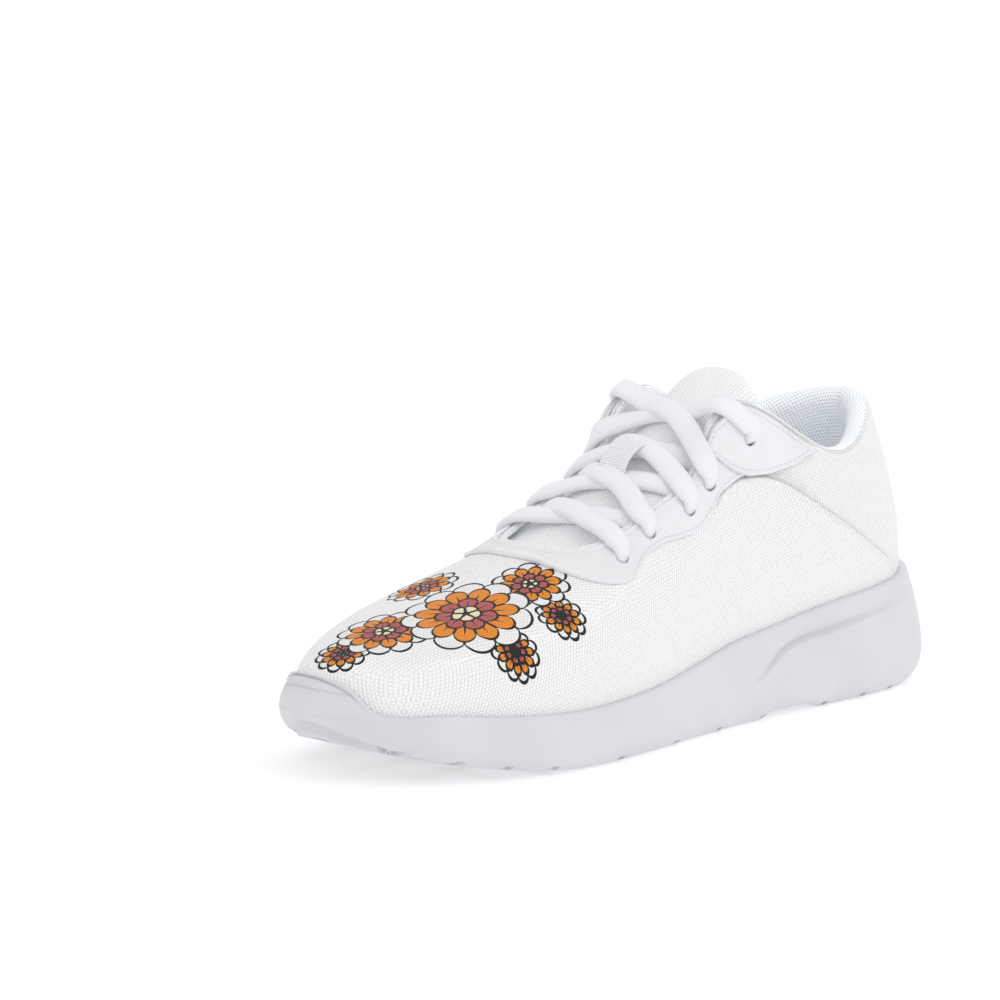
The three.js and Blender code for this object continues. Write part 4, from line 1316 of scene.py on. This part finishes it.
@lru_cache(maxsize=None)
def tongue_line(t):
    return Vector(((tongue_value("x", t) - 0.5) * LENGTH, 0, tongue_value("z", t) * TONGUE_HEIGHT))


@lru_cache(maxsize=None)
def tongue_rise(t):
    along = tongue_line(min(t + 0.01, 1)) - tongue_line(max(t - 0.01, 0))
    upward = Vector((-along.z, 0, along.x)).normalized()
    return upward if upward.z > 0 else -upward


def tongue_point(t, w, depth):
    """A place of the tongue: w runs across from -1 to 1, and depth is down from its top face."""
    hang = tongue_value("hang", t) * through(TONGUE_HANG, t) * TONGUE_WIDTH * w * w
    p = tongue_line(t) - tongue_rise(t) * (hang + depth)
    return Vector((p.x, w * tongue_value("half", t) * TONGUE_WIDTH, p.z))


def tongue_up(t, w):
    e = 0.01
    along = tongue_point(min(t + e, 1), w, 0) - tongue_point(max(t - e, 0), w, 0)
    across = tongue_point(t, w + e, 0) - tongue_point(t, w - e, 0)
    return across.cross(along).normalized()


# How much wider and flatter the sewn-in tongue is than its solid under the flaps, by place along it.
TONGUE_SPREAD = [(0, 1.5), (0.3, 1.4), (0.5, 1.15), (0.6, 1.12), (0.8, 1), (1, 1)]
TONGUE_HANG = [(0, 0.3), (0.3, 0.4), (0.5, 0.85), (0.6, 1), (1, 1)]
TONGUE_STEPS = 72
TONGUE_AROUND = 44
TIP_ROUND = 0.045  # share of the tongue over which its free end rounds off


def make_tongue():
    def place(i, k):
        t = i / TONGUE_STEPS
        c, s = circle(k, TONGUE_AROUND)
        w = fuller(c, 0.7)
        tip = clamp((1 - t) / TIP_ROUND)
        narrow = 0.62 + 0.38 * math.sqrt(1 - (1 - tip) ** 2)
        thick = tongue_value("thick", t) * TONGUE_THICKNESS
        puff = s * math.sqrt(max(0.0, 1 - w**6)) * (0.35 + 0.65 * math.sqrt(tip))
        depth = thick / 2 * (1 - puff)
        return tongue_point(t, w * narrow * through(TONGUE_SPREAD, t), depth)

    bm = grid(TONGUE_STEPS, TONGUE_AROUND, place)
    close_ends(bm)
    made = piece("tongue_pad", bm, [TONGUE_MESH], ["tongue"])


make_tongue()

# The loop's stops over the crossing that it holds: place along the tongue and height over it.
LOOP_STOPS = [(0.452, 0.2), (0.466, 2.6), (0.485, 5.4), (0.51, 6.5)]
LOOP_STOPS += [(0.537, 5.7), (0.557, 2.6), (0.572, 0.2)]
LOOP_WIDTH, LOOP_THICKNESS, LOOP_STEP = 12.5, 1.1, 0.5


def make_loop():
    stops = [(tongue_point(t, 0, 0) + tongue_up(t, 0) * height,) for t, height in LOOP_STOPS]
    path = [point for point, in curve_points(stops, LOOP_STEP)]
    steps, around = len(path) - 1, 24

    def place(i, k):
        along = (path[min(i + 1, steps)] - path[max(i - 1, 0)]).normalized()
        across = Vector((0, 1, 0))
        up = along.cross(across).normalized()
        c, s = circle(k, around)
        aside = across * (fuller(c, 0.35) * LOOP_WIDTH / 2)
        return path[i] + aside + up * (fuller(s, 0.6) * LOOP_THICKNESS / 2)

    bm = grid(steps, around, place, lambda i, k: (i * LOOP_STEP, k))
    close_ends(bm)
    piece("tongue_loop_band", bm, [WEBBING], ["tongue_loop"])


make_loop()

# The insole


def make_insole():
    def ring_point(u, tuck, height):
        inset = column("flare", u) + LIP + WALL + INSOLE_EDGE + tuck
        return inset_point(u, inset, column("bed", u) + height)

    top = GAP + INSOLE_THICKNESS
    round_edge = INSOLE_THICKNESS / 4
    # share of the way to the edge, how far the edge is drawn in there, and height
    profile = [(0, 0, GAP), (0.5, 0, GAP), (1, 0.4, GAP), (1, 0, GAP + round_edge)]
    profile += [(1, 0, top - round_edge), (1, round_edge * 0.4, top - round_edge * 0.3)]
    profile += [(share, round_edge, top) for share in (1, 0.75, 0.5, 0.25, 0)]

    def place(i, k):
        share, tuck, height = profile[k]
        return across_sole(place_of(i), share, lambda w: ring_point(w, tuck, height))

    bm = grid(AROUND, len(profile) - 1, place, lambda i, k: place(i, k).xy)
    bmesh.ops.recalc_face_normals(bm, faces=bm.faces)
    made = piece("insole_pad", bm, [INSOLE_CLOTH], ["insole"])


make_insole()

# The lace

LACE_AROUND = 20
LACE_STEP = 0.9  # mm between the rings of a strand
LACE_AT_HOLE = 0.46  # its width where an eyelet pinches it, as a share of its width
FLAT_AT_HOLE = 0.8  # and its thickness there
IN_HOLE = 2.5  # mm of it in the eyelet
PINCH_LENGTH = 7.5  # mm over which it widens again
RIM_SHARE = 0.08
TOP_RIM_SHARE = 0.3
CROSSING_REST = 0.75  # how far the upper strand lies over the lower, as a share of the thickness


@lru_cache(maxsize=None)
def tongue_place(x):
    low, high = 0.0, 1.0
    for _ in range(24):
        mid = (low + high) / 2
        if tongue_line(mid).x > x:
            low = mid
        else:
            high = mid
    return (low + high) / 2


def rim_up(u):
    along = rib(u + 0.1, 1) - rib(u - 0.1, 1)
    return -along.cross(normal(u, 1)).normalized()


def lace_stops(pair, side, layer):
    """A strand's stops: each a place and the way that the lace's flat face looks there."""
    last = pair == len(EYELETS) - 2
    half = LACE_THICKNESS / 2

    def top_at(u, on_tab):
        return tab_top(u) if on_tab else STAY_TOP

    def at_eyelet(at, sign, on_tab):
        u, v = EYELETS[at]
        up = normal(sign * u, v)
        top = top_at(u, on_tab)
        return [
            (over(sign * u, v - 0.008, top - 3.5), up), (over(sign * u, v + 0.004, top - 0.2), up),
            (over(sign * (u + 0.05), v + 0.05, top + half * 0.9), up),
        ]

    def over_rim(at, to, share, sign, on_tab):
        u = sign * lerp(EYELETS[at][0], EYELETS[to][0], share)
        out = normal(u, 1)
        slant = (out + rim_up(u)).normalized()
        radius = wall(u, 1) / 2
        cover = top_at(abs(u), on_tab) * 0.6
        return rib(u, 1) - out * radius + slant * (radius + cover + half * 0.8), slant

    def over_tongue(x, w, lift):
        t = tongue_place(x)
        up = tongue_up(t, w)
        return (tongue_point(t, w, 0) + up * lift, up)

    far_u, far_v = EYELETS[pair + 1]
    stops = at_eyelet(pair, side, False)
    near_x, far_x = stops[0][0].x, over(-side * far_u, far_v, 0).x
    top = half + layer * LACE_THICKNESS * CROSSING_REST
    stops.append(over_rim(pair, pair + 1, RIM_SHARE, side, False))
    # over the tongue: share of the way along the shoe, place across it and height
    crossed = [(0.35, -0.42, lerp(half, top, 0.7) + 0.8), (0.5, 0, top)]
    if last:
        crossed += [(0.62, 0.45, lerp(half, top, 0.7))]
    else:
        crossed += [(0.66, 0.45, lerp(half, top, 0.4)), (0.82, 0.82, half * 0.6), (0.92, 1.05, -half)]
    stops += [over_tongue(lerp(near_x, far_x, share), -side * w, lift) for share, w, lift in crossed]
    if last:
        stops.append(over_rim(pair + 1, pair, TOP_RIM_SHARE, -side, True))
        stops += at_eyelet(pair + 1, -side, True)[::-1]
    return stops


def lace_strand(name, pair, side, layer, nodes):
    path, ups = zip(*curve_points(lace_stops(pair, side, layer), LACE_STEP))
    steps = len(path) - 1
    run = [0.0]
    for a, b in zip(path, path[1:]):
        run.append(run[-1] + (b - a).length)
    last = pair == len(EYELETS) - 2
    frames = []
    for k in range(steps + 1):
        along = (path[min(k + 1, steps)] - path[max(k - 1, 0)]).normalized()
        aside = along.cross(ups[k]).normalized()
        from_hole = min(run[k], run[steps] - run[k]) if last else run[k]
        pinch = smooth((from_hole - IN_HOLE) / PINCH_LENGTH)
        width = LACE_WIDTH * lerp(LACE_AT_HOLE, 1, pinch)
        thick = LACE_THICKNESS * lerp(FLAT_AT_HOLE, 1, pinch)
        frames.append((aside * width / 2, aside.cross(along) * thick / 2))

    def place(i, k):
        c, s = circle(k, LACE_AROUND)
        w, h = frames[i]
        return path[i] + w * fuller(c, 0.85) + h * fuller(s, 0.75)

    def cloth(i, k):
        return run[i], k / LACE_AROUND * 2 * (LACE_WIDTH + LACE_THICKNESS)

    bm = grid(steps, LACE_AROUND, place, cloth=cloth)
    close_ends(bm)
    piece(name, bm, [BRAID], nodes)


for pair in range(len(EYELETS) - 1):
    crossing = [f"lace_crossing_{pair + 1}"]
    lace_strand(f"lace_outer_{pair + 1}", pair, 1, 1, crossing)
    lace_strand(f"lace_inner_{pair + 1}", pair, -1, 0, crossing)
